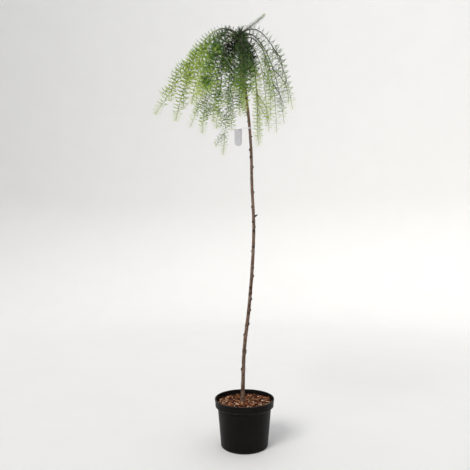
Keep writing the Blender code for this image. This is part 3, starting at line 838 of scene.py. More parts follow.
def finish(name, colour, patches, grain, bump=0.0, relief=0.001, dust=None, over=None, specular=0.5):
    """A material with patchy colour and grained roughness, and bump, or dust with a painted highlight, where
    they are asked for.
    """
    material = bpy.data.materials.new(name)
    material.use_nodes = True
    tree = material.node_tree
    shader = tree.nodes["Principled BSDF"]
    shader.inputs["Specular IOR Level"].default_value = specular
    texture = use_group(tree, "grain", grain)
    last = use_group(tree, "patches", {"Colour": colour, **patches}).outputs["Colour"]
    for group, values in (("patches", over), ("dust", dust)):
        if values:
            node = use_group(tree, group, values)
            tree.links.new(last, node.inputs["Colour"])
            last = node.outputs["Colour"]
    tree.links.new(last, shader.inputs["Base Color"])
    tree.links.new(texture.outputs["Roughness"], shader.inputs["Roughness"])
    if bump:
        height = {"Height": texture.outputs["Height"]}
        raised = add_node(tree, "ShaderNodeBump", height, Strength=bump, Distance=relief)
        tree.links.new(raised.outputs["Normal"], shader.inputs["Normal"])
    return material


def varied(name, colour, other, scale, smoothest, roughest, grain=400.0, bump=0.0, **more):
    """The common case of a finish: one colour with patches of another."""
    texture = grain_of(grain, smoothest, roughest)
    return finish(name, colour, patches_of(other, scale), texture, bump=bump, **more)


def darker(colour, share):
    return tuple(channel * share for channel in colour)


# What a user may change


def colour_value(name, description, default):
    return FloatVectorProperty(
        name=name, description=description, subtype="COLOR", size=3, min=0.0, max=1.0, default=default
    )


def length_value(name, description, default):
    return FloatProperty(name=name, description=description, default=default, unit="LENGTH")


class LarchNeedleSettings(bpy.types.PropertyGroup):
    """Sizes and colours of the needles and the shoots that bear them."""

    length: length_value("Needle length", "Length of a full needle", 0.034)
    width: length_value("Needle width", "Width of a needle at its middle", 0.00085)
    tuft_step: length_value("Tuft spacing", "Distance from tuft to tuft along a shoot", 0.0034)
    tuft_needles: IntProperty(name="Needles in a tuft", description="Needles that one tuft holds", default=7)
    new_growth: FloatProperty(
        name="New growth",
        description="Share of a shoot, at its tip, that bears short single needles",
        default=0.07,
        subtype="FACTOR",
    )
    single_step: length_value("Single spacing", "Distance between needles of the new growth", 0.0011)
    shade: colour_value("Shade", "Needles under the head, which get the least light", (0.025, 0.037, 0.016))
    deep: colour_value("Deep", "Older needles in the shade of others", (0.049, 0.084, 0.030))
    dark: colour_value("Dark", "Older needles", (0.079, 0.152, 0.045))
    mid: colour_value("Middle", "Most needles", (0.138, 0.272, 0.060))
    fresh: colour_value("Fresh", "Needles of this summer", (0.285, 0.465, 0.080))
    lime: colour_value("Lime", "The youngest needles", (0.455, 0.660, 0.095))
    pale: colour_value("Pale", "Tips that catch the most light", (0.640, 0.780, 0.170))
    # Painted shade: darker, bluer copies of the middle and fresh tones for needles on the side away from the
    # light
    cool: colour_value("Cool", "Needles on the side away from the light", (0.105, 0.215, 0.088))
    cool_fresh: colour_value("Cool fresh", "This summer's needles on that side", (0.205, 0.350, 0.116))
    young_shoot: colour_value("Young shoot", "Soft stem of this summer's shoots", (0.470, 0.560, 0.200))
    straw_shoot: colour_value("Straw shoot", "Last year's shoots", (0.205, 0.200, 0.090))
    old_shoot: colour_value("Old shoot", "Wood that bears the arches", (0.075, 0.056, 0.045))


class LarchBarkSettings(bpy.types.PropertyGroup):
    """Sizes and colours of the bark."""

    relief: length_value("Relief", "Depth of the bark's furrows", 0.0006)
    ring_step: length_value("Ring step", "Distance between the rings of the bark's mesh", 0.0022)
    sides: IntProperty(name="Sides", description="Sides of the bark's mesh round the stem", default=36)
    brown: colour_value("Brown", "Main colour of the stem's bark", (0.112, 0.059, 0.038))
    pink: colour_value("Pink", "Newly bared plates of the bark", (0.250, 0.130, 0.088))
    grey: colour_value("Grey", "Weathered flakes of the bark", (0.158, 0.130, 0.102))
    knot: colour_value("Knots", "Knots, bud scars and spurs", (0.024, 0.016, 0.012))
    stain: colour_value("Stains", "Damp, algae-dark stains, most near the foot", (0.042, 0.033, 0.020))


class LarchPotSettings(bpy.types.PropertyGroup):
    """Sizes and colours of the pot, its mulch and the name tag."""

    pot_colour: colour_value("Pot", "The pot's plastic", (0.0038, 0.0029, 0.0029))
    # Dust on the rim and ledges, bright enough to be a painted highlight where their upward faces catch the
    # light
    dust_colour: colour_value("Dust", "Dust on the pot's rim and ledges", (0.150, 0.132, 0.115))
    chip_count: IntProperty(name="Chips", description="Bark chips on the soil", default=1400)
    chip_length: length_value("Chip length", "Length of a middling bark chip", 0.0118)
    soil_colour: colour_value("Soil", "Damp soil between the chips", (0.011, 0.005, 0.0025))
    chip_red: colour_value("Red chips", "Freshly broken bark", (0.205, 0.063, 0.024))
    chip_brown: colour_value("Brown chips", "Weathered bark", (0.055, 0.018, 0.008))
    chip_tan: colour_value("Tan chips", "Inner sides of the bark", (0.440, 0.215, 0.105))
    # Pale slivers of bare wood, bright enough to be painted glints on the mulch as well
    chip_pale_and_glint: colour_value("Pale chips", "Slivers of bare wood", (0.860, 0.670, 0.520))
    tag_colour: colour_value("Tag", "The blank name tag", (0.700, 0.695, 0.730))


class LarchStageSettings(bpy.types.PropertyGroup):
    """The floor and the light around the plant."""

    floor_colour: colour_value("Floor", "The floor and the backdrop behind it", (0.785, 0.782, 0.775))
    sun: FloatProperty(name="Key light", description="Strength of the broad left light", default=1.80)
    sky: FloatProperty(name="Sky light", description="Strength of the light from all round", default=0.87)


# Operators


class LARCH_OT_build_stage(bpy.types.Operator):
    """Makes the floor that curves up into a backdrop, the lights and the camera"""

    bl_idname = "larch.build_stage"
    bl_label = "Build the stage"

    def execute(self, context):
        settings = context.scene.larch_stage
        profile = [(r, 0.0) for r in np.linspace(0.05, FLOOR_FLAT, 14)]
        for angle in np.linspace(0.0, math.pi / 2, 17)[1:]:
            profile.append(
                (FLOOR_FLAT + FLOOR_BEND * math.sin(angle), FLOOR_BEND * (1.0 - math.cos(angle)))
            )
        profile.append((FLOOR_FLAT + FLOOR_BEND, FLOOR_BEND + FLOOR_RISE))
        sides = 96
        pile = Pile()
        inward = grid_triangles(len(profile), sides)[:, ::-1]
        pile.add(lathe(profile, sides), np.concatenate([inward, cap_triangles(0, sides)]))
        colour = settings.floor_colour
        paint = varied("pale_floor", colour, darker(colour, 0.985), 3.0, 0.7, 0.85, grain=40.0)
        floor = pile.build("studio_floor", [paint])
        floor.visible_shadow = False

        self.add_lights(context, settings)
        self.add_camera(context)
        return {"FINISHED"}

    def add_lights(self, context, settings):
        """An even sky and a broad sun from the left front."""
        world = bpy.data.worlds.new("Even sky")
        world.use_nodes = True
        background = world.node_tree.nodes["Background"]
        background.inputs["Color"].default_value = SKY_COLOUR
        background.inputs["Strength"].default_value = settings.sky
        context.scene.world = world
        context.scene.view_settings.view_transform = "Standard"

        light = bpy.data.lights.new("broad_left_light", "SUN")
        light.energy = settings.sun
        light.angle = math.radians(SUN_SOFTNESS)
        light.color = SUN_COLOUR
        sun = bpy.data.objects.new("broad_left_light", light)
        sun.rotation_euler = [math.radians(turn) for turn in SUN_TURN]
        context.scene.collection.objects.link(sun)

    def add_camera(self, context):
        """The camera at the photograph's place."""
        lens = bpy.data.cameras.new("front_camera")
        lens.lens = CAMERA_LENS
        lens.sensor_width = CAMERA_SENSOR
        lens.shift_x, lens.shift_y = CAMERA_SHIFT
        lens.clip_start = 0.05
        lens.clip_end = 60.0
        camera = bpy.data.objects.new("front_camera", lens)
        camera.location = CAMERA_PLACE
        camera.rotation_euler = (math.radians(90.0), 0.0, 0.0)
        context.scene.collection.objects.link(camera)
        context.scene.camera = camera


class LARCH_OT_build_pot(bpy.types.Operator):
    """Makes the tapered nursery pot, with its rolled rim, deep collar and ribbed foot"""

    bl_idname = "larch.build_pot"
    bl_label = "Build the pot"

    def execute(self, context):
        settings = context.scene.larch_pot
        _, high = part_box("nursery_pot")
        rim, height = high.x, high.z
        wall, base, floor = POT_WALL, POT_BASE, POT_FLOOR
        collar = height - POT_COLLAR
        shoulder = collar - POT_SLOPE
        draft = (rim - POT_STEP - base) / shoulder
        outer = [
            (0.0, 0.0012),
            (base - 0.0150, 0.0012),
            (base - 0.0135, 0.0),
            (base - 0.0030, 0.0),
            (base + draft * 0.003, 0.0030),
            (base + draft * 0.0062, 0.0062),
            (base + draft * 0.0066 - 0.0006, 0.0066),
            (base + draft * 0.0074 - 0.0006, 0.0074),
            (base + draft * 0.0078, 0.0078),
            (base + draft * shoulder, shoulder),
            (rim - 0.0042, collar - 0.0020),
            (rim - 0.0021, collar - 0.0004),
            (rim - 0.0022, collar + 0.0012),
            (rim - 0.0030, collar + 0.0026),
            (rim - 0.0006, height - 0.0060),
            (rim, height - 0.0045),
            (rim, height - 0.0008),
            (rim - 0.0010, height),
            (rim - wall, height),
        ]
        inner = [
            (rim - wall * 1.35, height - 0.0016),
            (rim - wall - 0.0030, collar + wall),
            (base + draft * shoulder - wall, shoulder),
            (base - wall, floor),
            (0.0, floor),
        ]
        colour = settings.pot_colour
        plastic = finish(
            "black_pot_plastic",
            colour,
            patches_of(darker(colour, 1.7), 26.0, 0.45, 0.2, stretch=2.2),
            grain_of(520.0, 0.34, 0.56),
            bump=0.22,
            relief=0.0004,
            # Dust and a painted highlight on the upward faces of the rim and ledges
            dust={"Dust colour": settings.dust_colour, "Amount": 0.75, "Scale": 120.0},
            specular=0.08,
        )
        pot = turned("pot_shell", rounded(outer + inner, POT_ROUNDING), POT_SIDES, [plastic])
        pot.data.set_sharp_from_angle(angle=math.radians(50.0))
        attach(pot, "root")
        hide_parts("nursery_pot")
        return {"FINISHED"}


def chip_shape(rng, length):
    """One splintered bark chip: a thin uneven slab with broken edges, lying flat about the origin."""
    sides = int(rng.integers(*CHIP_CORNERS))
    width = length * rng.uniform(*CHIP_WIDTHS)
    thick = length * rng.uniform(*CHIP_THICKNESSES)
    turns = rng.uniform(-CHIP_CORNER_TURN, CHIP_CORNER_TURN, sides)
    angles = (np.arange(sides) + turns) / sides * math.tau
    reach = rng.uniform(*CHIP_CORNER_REACH, sides)
    outline = np.stack([np.cos(angles) * reach * length / 2, np.sin(angles) * reach * width / 2], -1)
    bend = rng.uniform(*CHIP_BENDS) * length
    rings = []
    for level, inset in CHIP_RINGS:
        flat = outline * inset * rng.uniform(1.0 - CHIP_RAGGED, 1.0 + CHIP_RAGGED, (sides, 1))
        curve = bend * (flat[:, 0] / length * 2) ** 2
        lift = level * thick + curve + rng.uniform(-CHIP_UNEVEN, CHIP_UNEVEN, sides) * thick
        rings.append(np.column_stack([flat, lift]))
    return np.concatenate(rings), tube_triangles(len(rings), sides)


def turn_matrix(rng, tilt):
    """A rotation by any angle round Z, tilted by up to the given angle."""
    spin, lean, way = rng.uniform(0, math.tau), rng.normal(0.0, tilt), rng.uniform(0, math.tau)
    c, s = math.cos(spin), math.sin(spin)
    round_z = np.array(((c, -s, 0.0), (s, c, 0.0), (0.0, 0.0, 1.0)))
    axis = np.array((math.cos(way), math.sin(way), 0.0))
    cross = np.array(((0.0, -axis[2], axis[1]), (axis[2], 0.0, -axis[0]), (-axis[1], axis[0], 0.0)))
    tilted = np.eye(3) + math.sin(lean) * cross + (1.0 - math.cos(lean)) * cross @ cross
    return tilted @ round_z


class LARCH_OT_build_mulch(bpy.types.Operator):
    """Makes the soil that fills the pot and the bark chips heaped on it"""

    bl_idname = "larch.build_mulch"
    bl_label = "Build the soil and chips"

    def heap(self, x, y, reach):
        """How far the mulch stands above its level: low mounds, higher in the middle and front right."""
        mound = MULCH_MOUND * noise.noise(Vector((x * MULCH_WAVES, y * MULCH_WAVES, 3.1)))
        middle = MULCH_HEAP * max(0.0, 1.0 - math.hypot(x, y) / reach)
        return mound + middle + MULCH_RISE * (x - y) / reach

    def execute(self, context):
        settings = context.scene.larch_pot
        low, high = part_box("bark_mulch_and_soil")
        self.add_soil(settings, low.z, high.x)
        self.add_chips(settings, high.z, high.x)
        return {"FINISHED"}

    def add_soil(self, settings, bottom, reach):
        """Damp soil with an uneven top."""
        rows = [(0.0, bottom), (SOIL_FOOT, bottom)]
        rows += [(reach - inset, height) for inset, height in SOIL_SIDE]
        rows += [(r, MULCH_LEVEL) for r in (*np.linspace(reach - 0.006, 0.004, 26), 0.0)]
        colour = settings.soil_colour
        earth = varied(
            "damp_soil", colour, darker(colour, 2.2), 160.0, 0.8, 0.98, grain=700.0, bump=0.8, specular=0.05
        )
        soil = turned("potting_soil", rows, 120, [earth])
        points = np.empty((len(soil.data.vertices), 3))
        soil.data.vertices.foreach_get("co", points.ravel())
        for point in points:
            if point[2] > MULCH_LEVEL - 1e-4 and math.hypot(point[0], point[1]) < reach - 0.004:
                place = Vector((point[0], point[1], 0.0))
                point[2] += self.heap(point[0], point[1], reach) - SOIL_BELOW_CHIPS
                point[2] += 0.0010 * noise.noise(place * 90.0) + 0.0008 * noise.noise(place * 320.0)
        soil.data.vertices.foreach_set("co", points.ravel())
        soil.data.update()
        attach(soil, "root")
        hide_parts("bark_mulch_and_soil")

    def add_chips(self, settings, highest, reach):
        """Bark chips in layers over the soil, kept inside the pot."""
        rng = np.random.default_rng(SEED + 40)
        foot = stem_centre(STEM_LEAN[0][0])
        pile = Pile()
        for number in range(settings.chip_count):
            kind = int(rng.choice(len(CHIP_SHARES), p=CHIP_SHARES))
            length = settings.chip_length * rng.lognormal(0.0, CHIP_SPREAD)
            # Pale slivers, which are also painted glints, are smaller
            if CHIP_KINDS[kind] == "pale_wood_chip":
                length *= PALE_AND_GLINT_CHIP_SIZE
            length = min(length, LONGEST_CHIP)
            points, triangles = chip_shape(rng, length)
            radius = (reach - CHIP_FROM_WALL - length * 0.32) * math.sqrt(rng.uniform(0.0, 1.0))
            angle = rng.uniform(0, math.tau)
            x, y = math.cos(angle) * radius, math.sin(angle) * radius
            if math.hypot(x - foot[0], y - foot[1]) < STEM_CLEARANCE:
                continue
            layer = CHIP_LAYERS * number / settings.chip_count
            z = MULCH_LEVEL - CHIP_SUNK + layer + self.heap(x, y, reach)
            points = points @ turn_matrix(rng, CHIP_TILT).T + (x, y, z)
            points[:, 2] = np.minimum(points[:, 2], highest + CHIP_ABOVE_SOLID)
            far = np.hypot(points[:, 0], points[:, 1])
            shrink = np.minimum(1.0, (reach - CHIP_CORNER_GAP) / np.maximum(far, 1e-6))
            points[:, :2] *= shrink[:, None]
            pile.add(points, triangles, kind)
        colours = (settings.chip_red, settings.chip_brown, settings.chip_tan, settings.chip_pale_and_glint)
        others = (settings.chip_brown, settings.soil_colour, settings.chip_red, settings.chip_tan)
        finishes = [
            varied(name, colour, other, 190.0, 0.72, 0.96, grain=900.0, bump=0.5, specular=0.08)
            for name, colour, other in zip(CHIP_KINDS, colours, others)
        ]
        chips = pile.build("bark_chips", finishes, smooth=False)
        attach(chips, "root")
        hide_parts("bark_mulch_and_soil")


def lumps(x, y, z, round_by, up):
    """Smooth noise from -1 to 1 at a place, with a scale round the stem and one up it."""
    return noise.noise(Vector((x * round_by, y * round_by, z * up)))


def bark_relief(x, y, z):
    """Furrowed plates at two sizes, from -1 to 1, longer up the stem than round it."""
    (wide, tall, share), (fine, short, small) = FURROWS, FINE_FURROWS
    return (1.0 - 2.0 * abs(lumps(x, y, z, wide, tall))) * share + lumps(x, y, z, fine, short) * small


def knot_bulge(height, angle, radius):
    """How far the knots near a place stand out of the stem."""
    total = 0.0
    for at, azimuth in KNOTS:
        up = height - at
        if abs(up) > KNOT_REACH * 3.0:
            continue
        turn = (angle - math.radians(azimuth) + math.pi) % math.tau - math.pi
        round_by = turn * radius * 1.3
        total += KNOT_HEIGHT * math.exp(-(up**2 + round_by**2) / KNOT_REACH**2 * 1.6)
        total += KNOT_HEIGHT * KNOT_RING * math.exp(-((up / KNOT_REACH) ** 2) * 2.0)
    return total


class LARCH_OT_build_bark(bpy.types.Operator):
    """Makes the stem and the boughs as meshes with the bark's relief, knots and spurs"""

    bl_idname = "larch.build_bark"
    bl_label = "Build the bark"

    def execute(self, context):
        settings = context.scene.larch_bark
        grain = grain_of(620.0, 0.66, 0.93, stretch=3.0)
        self.add_stem(settings, grain)
        self.add_limbs(settings, context.scene.larch_needles, grain)
        return {"FINISHED"}

    def add_stem(self, settings, grain):
        """The stem with its spurs."""
        points, finishes = self.stem_surface(settings)
        pile = Pile()
        triangles = tube_triangles(len(points), settings.sides)
        pile.add(points.reshape(-1, 3), triangles, finishes.ravel()[triangles[:, 0]])
        self.add_spurs(pile)
        patches = patches_of(settings.pink, 62.0, 0.46, 0.45, stretch=3.4)
        flakes = patches_of(settings.grey, 150.0, 0.40, 0.6, stretch=2.2)
        bark = finish(
            "stem_bark", settings.brown, patches, grain, bump=0.75, relief=0.0007, over=flakes, specular=0.35
        )
        rough = {"bump": 0.7, "specular": 0.2}
        knots = varied("knot_bark", settings.knot, darker(settings.knot, 2.2), 260.0, 0.7, 0.92, **rough)
        stain = varied("stained_bark", settings.stain, settings.brown, 210.0, 0.72, 0.94, **rough)
        stem = pile.build("stem_with_bark", [bark, knots, stain])
        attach(stem, "root")
        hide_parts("stem")

    def add_limbs(self, settings, wood, grain):
        """All the boughs as one piece."""
        pile = Pile()
        rng = np.random.default_rng(SEED + 41)
        for _, line, split in BOUGHS:
            self.add_bough(pile, line, split, settings.relief, rng)
        patches = patches_of(wood.straw_shoot, 110.0, 0.42, 0.4)
        limb_bark = finish(
            "limb_bark", wood.old_shoot, patches, grain, bump=0.6, relief=0.0005, specular=0.35
        )
        limbs = pile.build("bough_bark", [limb_bark])
        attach(limbs, "root")
        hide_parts(*[name for name, _, _ in BOUGHS])

    def stem_surface(self, settings):
        """The stem's rings of points with bark, knots and the lumpy head, and the finish of each point."""
        base_height = STEM_LEAN[0][0]
        foot = base_height + FIT_GAP - STEM_BELOW_SOLID
        top = HEAD_HEIGHT + HEAD_REACH * HEAD_TOP
        heights = np.linspace(foot, top, int((top - foot) / settings.ring_step))
        angles = turns_of(settings.sides)
        points = np.empty((len(heights), settings.sides, 3))
        finishes = np.zeros((len(heights), settings.sides), int)
        for i, height in enumerate(heights):
            centre = stem_centre(max(height, base_height))
            base = stem_radius(max(height, base_height))
            close = min(1.0, (top - height) / STEM_CLOSING)
            base *= math.sqrt(max(0.02, 1.0 - (1.0 - close) ** 2))
            head = math.exp(-(((height - HEAD_HEIGHT) / HEAD_REACH) ** 2) * 1.5)
            for k, angle in enumerate(angles):
                x, y = math.cos(angle), math.sin(angle)
                bulge = knot_bulge(height, angle, base)
                ragged = lumps(x, y, height, 3.0, 260.0)
                stained = noise.noise(Vector((x * 1.3 + 7.0, y * 1.3, height * 62.0)))
                if bulge + RAGGED_EDGE * ragged > KNOT_DARK_ABOVE:
                    finishes[i, k] = 1
                elif stained + 0.4 * ragged > STAIN_LEAST + STAIN_LESS_UP * (height - foot):
                    finishes[i, k] = 2
                rougher = 1.0 + head * HEAD_ROUGHER
                out = base + bulge + settings.relief * bark_relief(x * base, y * base, height) * rougher
                out += HEAD_LUMP * head * lumps(x, y, height, 2.2, 90.0)
                out += STEM_LUMP * lumps(x, y, height, 0.8, 40.0)
                points[i, k] = centre[0] + x * out, centre[1] + y * out, height
        return points, finishes

    def add_spurs(self, pile):
        """Stubs of short shoots, at the same seeded places as on the solid stem."""
        rng = random.Random(SEED + 2)
        places = [(LONG_SPUR_AZIMUTH, LONG_SPUR_HEIGHT, LONG_SPUR_LENGTH, LONG_SPUR_RADIUS)]
        for k in range(SPUR_COUNT):
            height = mix(*SPUR_HEIGHTS, (k + rng.uniform(0.2, 0.8)) / SPUR_COUNT)
            if abs(height - TAG_HEIGHT) > 0.02:
                places.append((SPUR_TURN * k, height, SPUR_LENGTH, SPUR_RADIUS))
        for azimuth, height, length, foot in places:
            centre, radius = stem_centre(height), stem_radius(height)
            way = unit(heading(azimuth) + UP * SPUR_RISE)
            shares = np.linspace(0.0, 1.0, SPUR_RINGS)
            rise = np.array([way * (radius * 0.6 + (length + radius * 0.4) * share) for share in shares])
            rise[:, 2] += 0.0012 * shares**2
            lumpy = 1.0 + SPUR_LUMP * np.cos(shares * math.tau * 3.0)
            radii = mix(foot, SPUR_TIP_RADIUS, shares**0.7) * lumpy
            radii[-1] *= 0.55
            pile.add(*tube(centre + rise, radii, SPUR_SIDES), 1)

    def add_bough(self, pile, line, split, relief, rng):
        """One limb, from inside the head to just past its crest, ringed and knobbly."""
        stations = np.linspace(0.002, split, int(split / LIMB_RING_STEP))
        swell = np.exp(-stations / LIMB_SWELL_REACH) * LIMB_SWELL
        radii = mix(BOUGH_BASE_RADIUS, BOUGH_TIP_RADIUS, stations / split) + swell
        phase = rng.uniform(0, math.tau)
        knobs = np.maximum(0.0, np.sin(stations / LIMB_KNOB_STEP * math.tau + phase)) ** 3
        radii = radii * (1.0 + LIMB_KNOB * knobs)
        shape = np.empty((len(stations), LIMB_SIDES))
        for i, s in enumerate(stations):
            for k, angle in enumerate(turns_of(LIMB_SIDES)):
                place = (math.cos(angle) * 1.4, math.sin(angle) * 1.4, s * 330.0 + phase * 9.0)
                shape[i, k] = radii[i] + relief * LIMB_RELIEF * noise.noise(Vector(place))
        pile.add(*tube(line.at(stations), shape, LIMB_SIDES))


def lengthwise(line, first, step, rng, last=None):
    """Uneven stations down a line, about a step apart."""
    last = line.length if last is None else last
    count = max(1, int((last - first) / step))
    return first + (np.arange(count) + rng.uniform(-0.3, 0.3, count) + 0.5) * (last - first) / count


def finer_line(rng, shoot, s, lengths):
    """A fine twig that leaves a shoot, runs beside it and weeps."""
    start, tangent = shoot.line.at(s), shoot.line.tangent(s)
    length = rng.uniform(*lengths)
    out = unit(np.cross(tangent, heading(rng.uniform(0.0, 360.0)) + UP * 0.2))
    along = unit(tangent * 0.85 + out * 0.60)
    tip = start + along * length * 0.86 - UP * length * 0.20
    return bezier_line(start, start + along * length * 0.45, tip + UP * length * 0.16, tip)


@dataclass
class Look:
    """How a strand looks: its fullness, its tone in the middle and at its tip, from 0, deep, to 1, and
    how many fine twigs it has beyond its tier's own. Away from the light its green is cooler and darker,
    a painted shade. An arch keeps a share of its needles and of their length, and above 1 it bears them
    all round, in more light."""

    fullness: float
    tone: float
    tip: float
    twigs: int = 0
    cool: float = 0.0
    arch: float = 1.0


@dataclass
class Growth:
    """A needled line with its look: where its needles and its own stem begin, the needles' size, and the
    share of it that is still brown. Singles bear no tufts, and what is sunlit escapes the shade."""

    shoot: Shoot
    look: Look
    first: float
    stem_first: float
    size: float = 1.0
    young: float = 0.45
    singles: bool = False
    sunlit: bool = False


# The look of each weeping spray, in order: eight in the outer tier, eight in the middle and six inside.
# Their tones hold painted light and shade as well as the needles' own colour.
SPRAY_LOOKS = (
    Look(1.60, 0.78, 1.02),
    Look(2.40, 0.42, 1.12, twigs=4),
    Look(1.60, 0.36, 0.98, twigs=1, arch=0.5),
    Look(0.72, 0.50, 0.88, cool=0.5, arch=1.2),
    Look(0.60, 0.48, 0.86, cool=0.8, arch=1.2),
    Look(0.30, 0.70, 0.90, cool=0.6, arch=1.4),
    Look(1.80, 0.62, 0.94, twigs=4, cool=0.3, arch=0.5),
    Look(0.85, 0.72, 1.02),
    Look(2.50, 0.88, 1.04, twigs=1),
    Look(1.80, 0.14, 0.52, arch=0.4),
    Look(0.78, 0.66, 0.90, cool=0.2, arch=1.7),
    Look(0.45, 0.54, 0.88, cool=0.7, arch=1.4),
    Look(0.85, 0.74, 0.92, cool=0.1, arch=1.9),
    Look(2.20, 0.52, 0.88, twigs=4, cool=0.4),
    Look(1.90, 0.56, 1.00, twigs=2),
    Look(1.80, 0.80, 1.04),
    Look(2.40, 0.46, 1.08, twigs=3),
    Look(1.50, 0.40, 0.84, twigs=8),
    Look(0.90, 1.00, 0.94, cool=0.1, arch=1.9),
    Look(0.85, 0.96, 0.96, cool=0.2, arch=1.9),
    Look(2.00, 0.52, 0.88, twigs=3, cool=0.3),
    Look(1.60, 0.64, 0.95, twigs=2),
)
# The top sprays: those that stay small, and the one that bushes out to the right, with their sizes
TOP_LOOKS = ((Look(0.4, 0.30, 0.50), 0.34), (Look(2.0, 0.76, 0.90), 0.90))
LEADER_LOOK = Look(2.2, 0.56, 0.80)


def plan_growth():
    """Every needled line: the planned shoots with their arches, and the finer twigs that leave them."""
    rng = random.Random(SEED + 50)
    growth = []
    for shoot in SHOOTS:
        if shoot.owner == "leading_shoot":
            first, stem_first = LEADER_NEEDLES_FROM, LEADER_STEM_FROM
            growth.append(Growth(shoot, LEADER_LOOK, first, stem_first, size=0.60, young=0.7, singles=True))
            continue
        if shoot.owner.startswith("top_spray"):
            look, size = TOP_LOOKS[shoot.owner == "top_spray_1"]
            growth.append(Growth(shoot, look, COLLAR_LENGTH, TOP_STEM_FROM, size, sunlit=True))
            continue
        look = SPRAY_LOOKS[int(shoot.owner[-2:]) - 1]
        first = ARCH_NEEDLES_FROM if shoot.start else SIDE_NEEDLES_FROM
        young = mix(*BROWN_SHARES, min(1.0, look.tone / BRIGHT_TONE)) + rng.uniform(-0.08, 0.08)
        # Painted shade: stems on the side away from the light are browner
        young = mix(young, SHADE_SIDE_BROWN, look.cool * 0.75)
        growth.append(Growth(shoot, look, first, shoot.start, rng.uniform(0.92, 1.08), young))
        if shoot.start:
            growth += plan_twigs(rng, shoot, look)
    return growth


def plan_twigs(rng, shoot, look):
    """The fine twigs that leave one shoot."""
    tier = shoot.tier
    own = (FINE_COUNT[tier], FINE_SPAN[tier], FINE_LENGTH[tier])
    twigs = []
    for count, span, lengths in (own, (look.twigs, TWIG_SPAN, TWIG_LENGTH)):
        for k in range(count):
            s = shoot.line.length * mix(*span, (k + rng.uniform(0.2, 0.8)) / count)
            line = finer_line(rng, shoot, s, lengths)
            twig = Shoot(shoot.owner, line, 0.0, radius=TWIG_RADIUS, tier=tier)
            twigs.append(Growth(twig, look, TWIG_NEEDLES_FROM, TWIG_STEM_FROM, size=0.80, young=0.2))
    return twigs


def in_core(points):
    """How deep points lie in the crowded core under the head, from 0 to 1."""
    axis = np.array([stem_centre(height) for height in np.minimum(points[:, 2], HEAD_HEIGHT)])
    from_stem = np.linalg.norm((points - axis - (CORE_ASIDE, 0.0, 0.0))[:, :2], axis=1)
    height = np.clip((points[:, 2] - CORE_FOOT) / CORE_DEPTH, 0.0, 1.0)
    return np.clip(1.0 - from_stem / CORE_REACH, 0.0, 1.0) * height


def shaded(growth, stations, points):
    """Tones down a line: deep near the head and close to the stem, a painted shade, and brighter towards the
    tip.
    """
    look = growth.look
    shares = stations / growth.shoot.line.length
    tones = look.tone + (look.tip - look.tone) * shares**3
    if growth.sunlit:
        return tones
    # Painted shade: tones deepen near the head and in the crowded core under it
    from_head = np.linalg.norm(points - stem_centre(HEAD_HEIGHT), axis=1)
    least = SHADE_LEAST * max(1.0, look.arch)
    tones = tones * mix(least, 1.0, np.minimum(1.0, from_head / SHADE_REACH))
    return tones - CORE_PAINTED_SHADE[growth.shoot.tier] * in_core(points)


class NeedleBed:
    """Gathers needles by their roots and directions, and makes them all at once."""

    def __init__(self):
        self.rows = []

    def add(self, roots, starts, ends, lengths, widths, tones):
        self.rows.append(np.column_stack([roots, starts, ends, lengths, widths, tones]))

    def build(self, name, materials):
        rows = np.concatenate(self.rows)
        roots, starts, ends = rows[:, 0:3], units(rows[:, 3:6]), units(rows[:, 6:9])
        lengths, widths, tones = rows[:, 9:10], rows[:, 10], rows[:, 11]
        bend = roots + starts * lengths * 0.5
        tips = bend + ends * lengths * 0.5
        side = units(np.cross(starts, ends) + 1e-4)
        corners = []
        for share, thickness in NEEDLE_RINGS:
            centre = roots * (1 - share) ** 2 + bend * 2 * share * (1 - share) + tips * share**2
            along = units(starts * (1 - share) + ends * share)
            across = np.cross(along, side)
            for k in range(NEEDLE_SIDES):
                angle = math.tau * k / NEEDLE_SIDES + math.pi / 2
                offset = side * math.cos(angle) + across * math.sin(angle) * NEEDLE_FLATNESS
                corners.append(centre + offset * (widths * thickness / 2)[:, None])
        corners.append(tips)
        points = np.stack(corners, axis=1)
        one = self.needle_triangles()
        firsts = np.arange(len(rows)) * len(corners)
        triangles = (one[None] + firsts[:, None, None]).reshape(-1, 3)
        pile = Pile()
        pile.add(points.reshape(-1, 3), triangles, np.repeat(tones.astype(int), len(one)))
        return pile.build(name, materials)

    def needle_triangles(self):
        """The triangles of one needle: its rings, its point and its closed foot."""
        tip = len(NEEDLE_RINGS) * NEEDLE_SIDES
        last = tip - NEEDLE_SIDES
        point = [(last + k, last + (k + 1) % NEEDLE_SIDES, tip) for k in range(NEEDLE_SIDES)]
        foot = cap_triangles(0, NEEDLE_SIDES, flip=True)
        return np.concatenate([grid_triangles(len(NEEDLE_RINGS), NEEDLE_SIDES), point, foot])


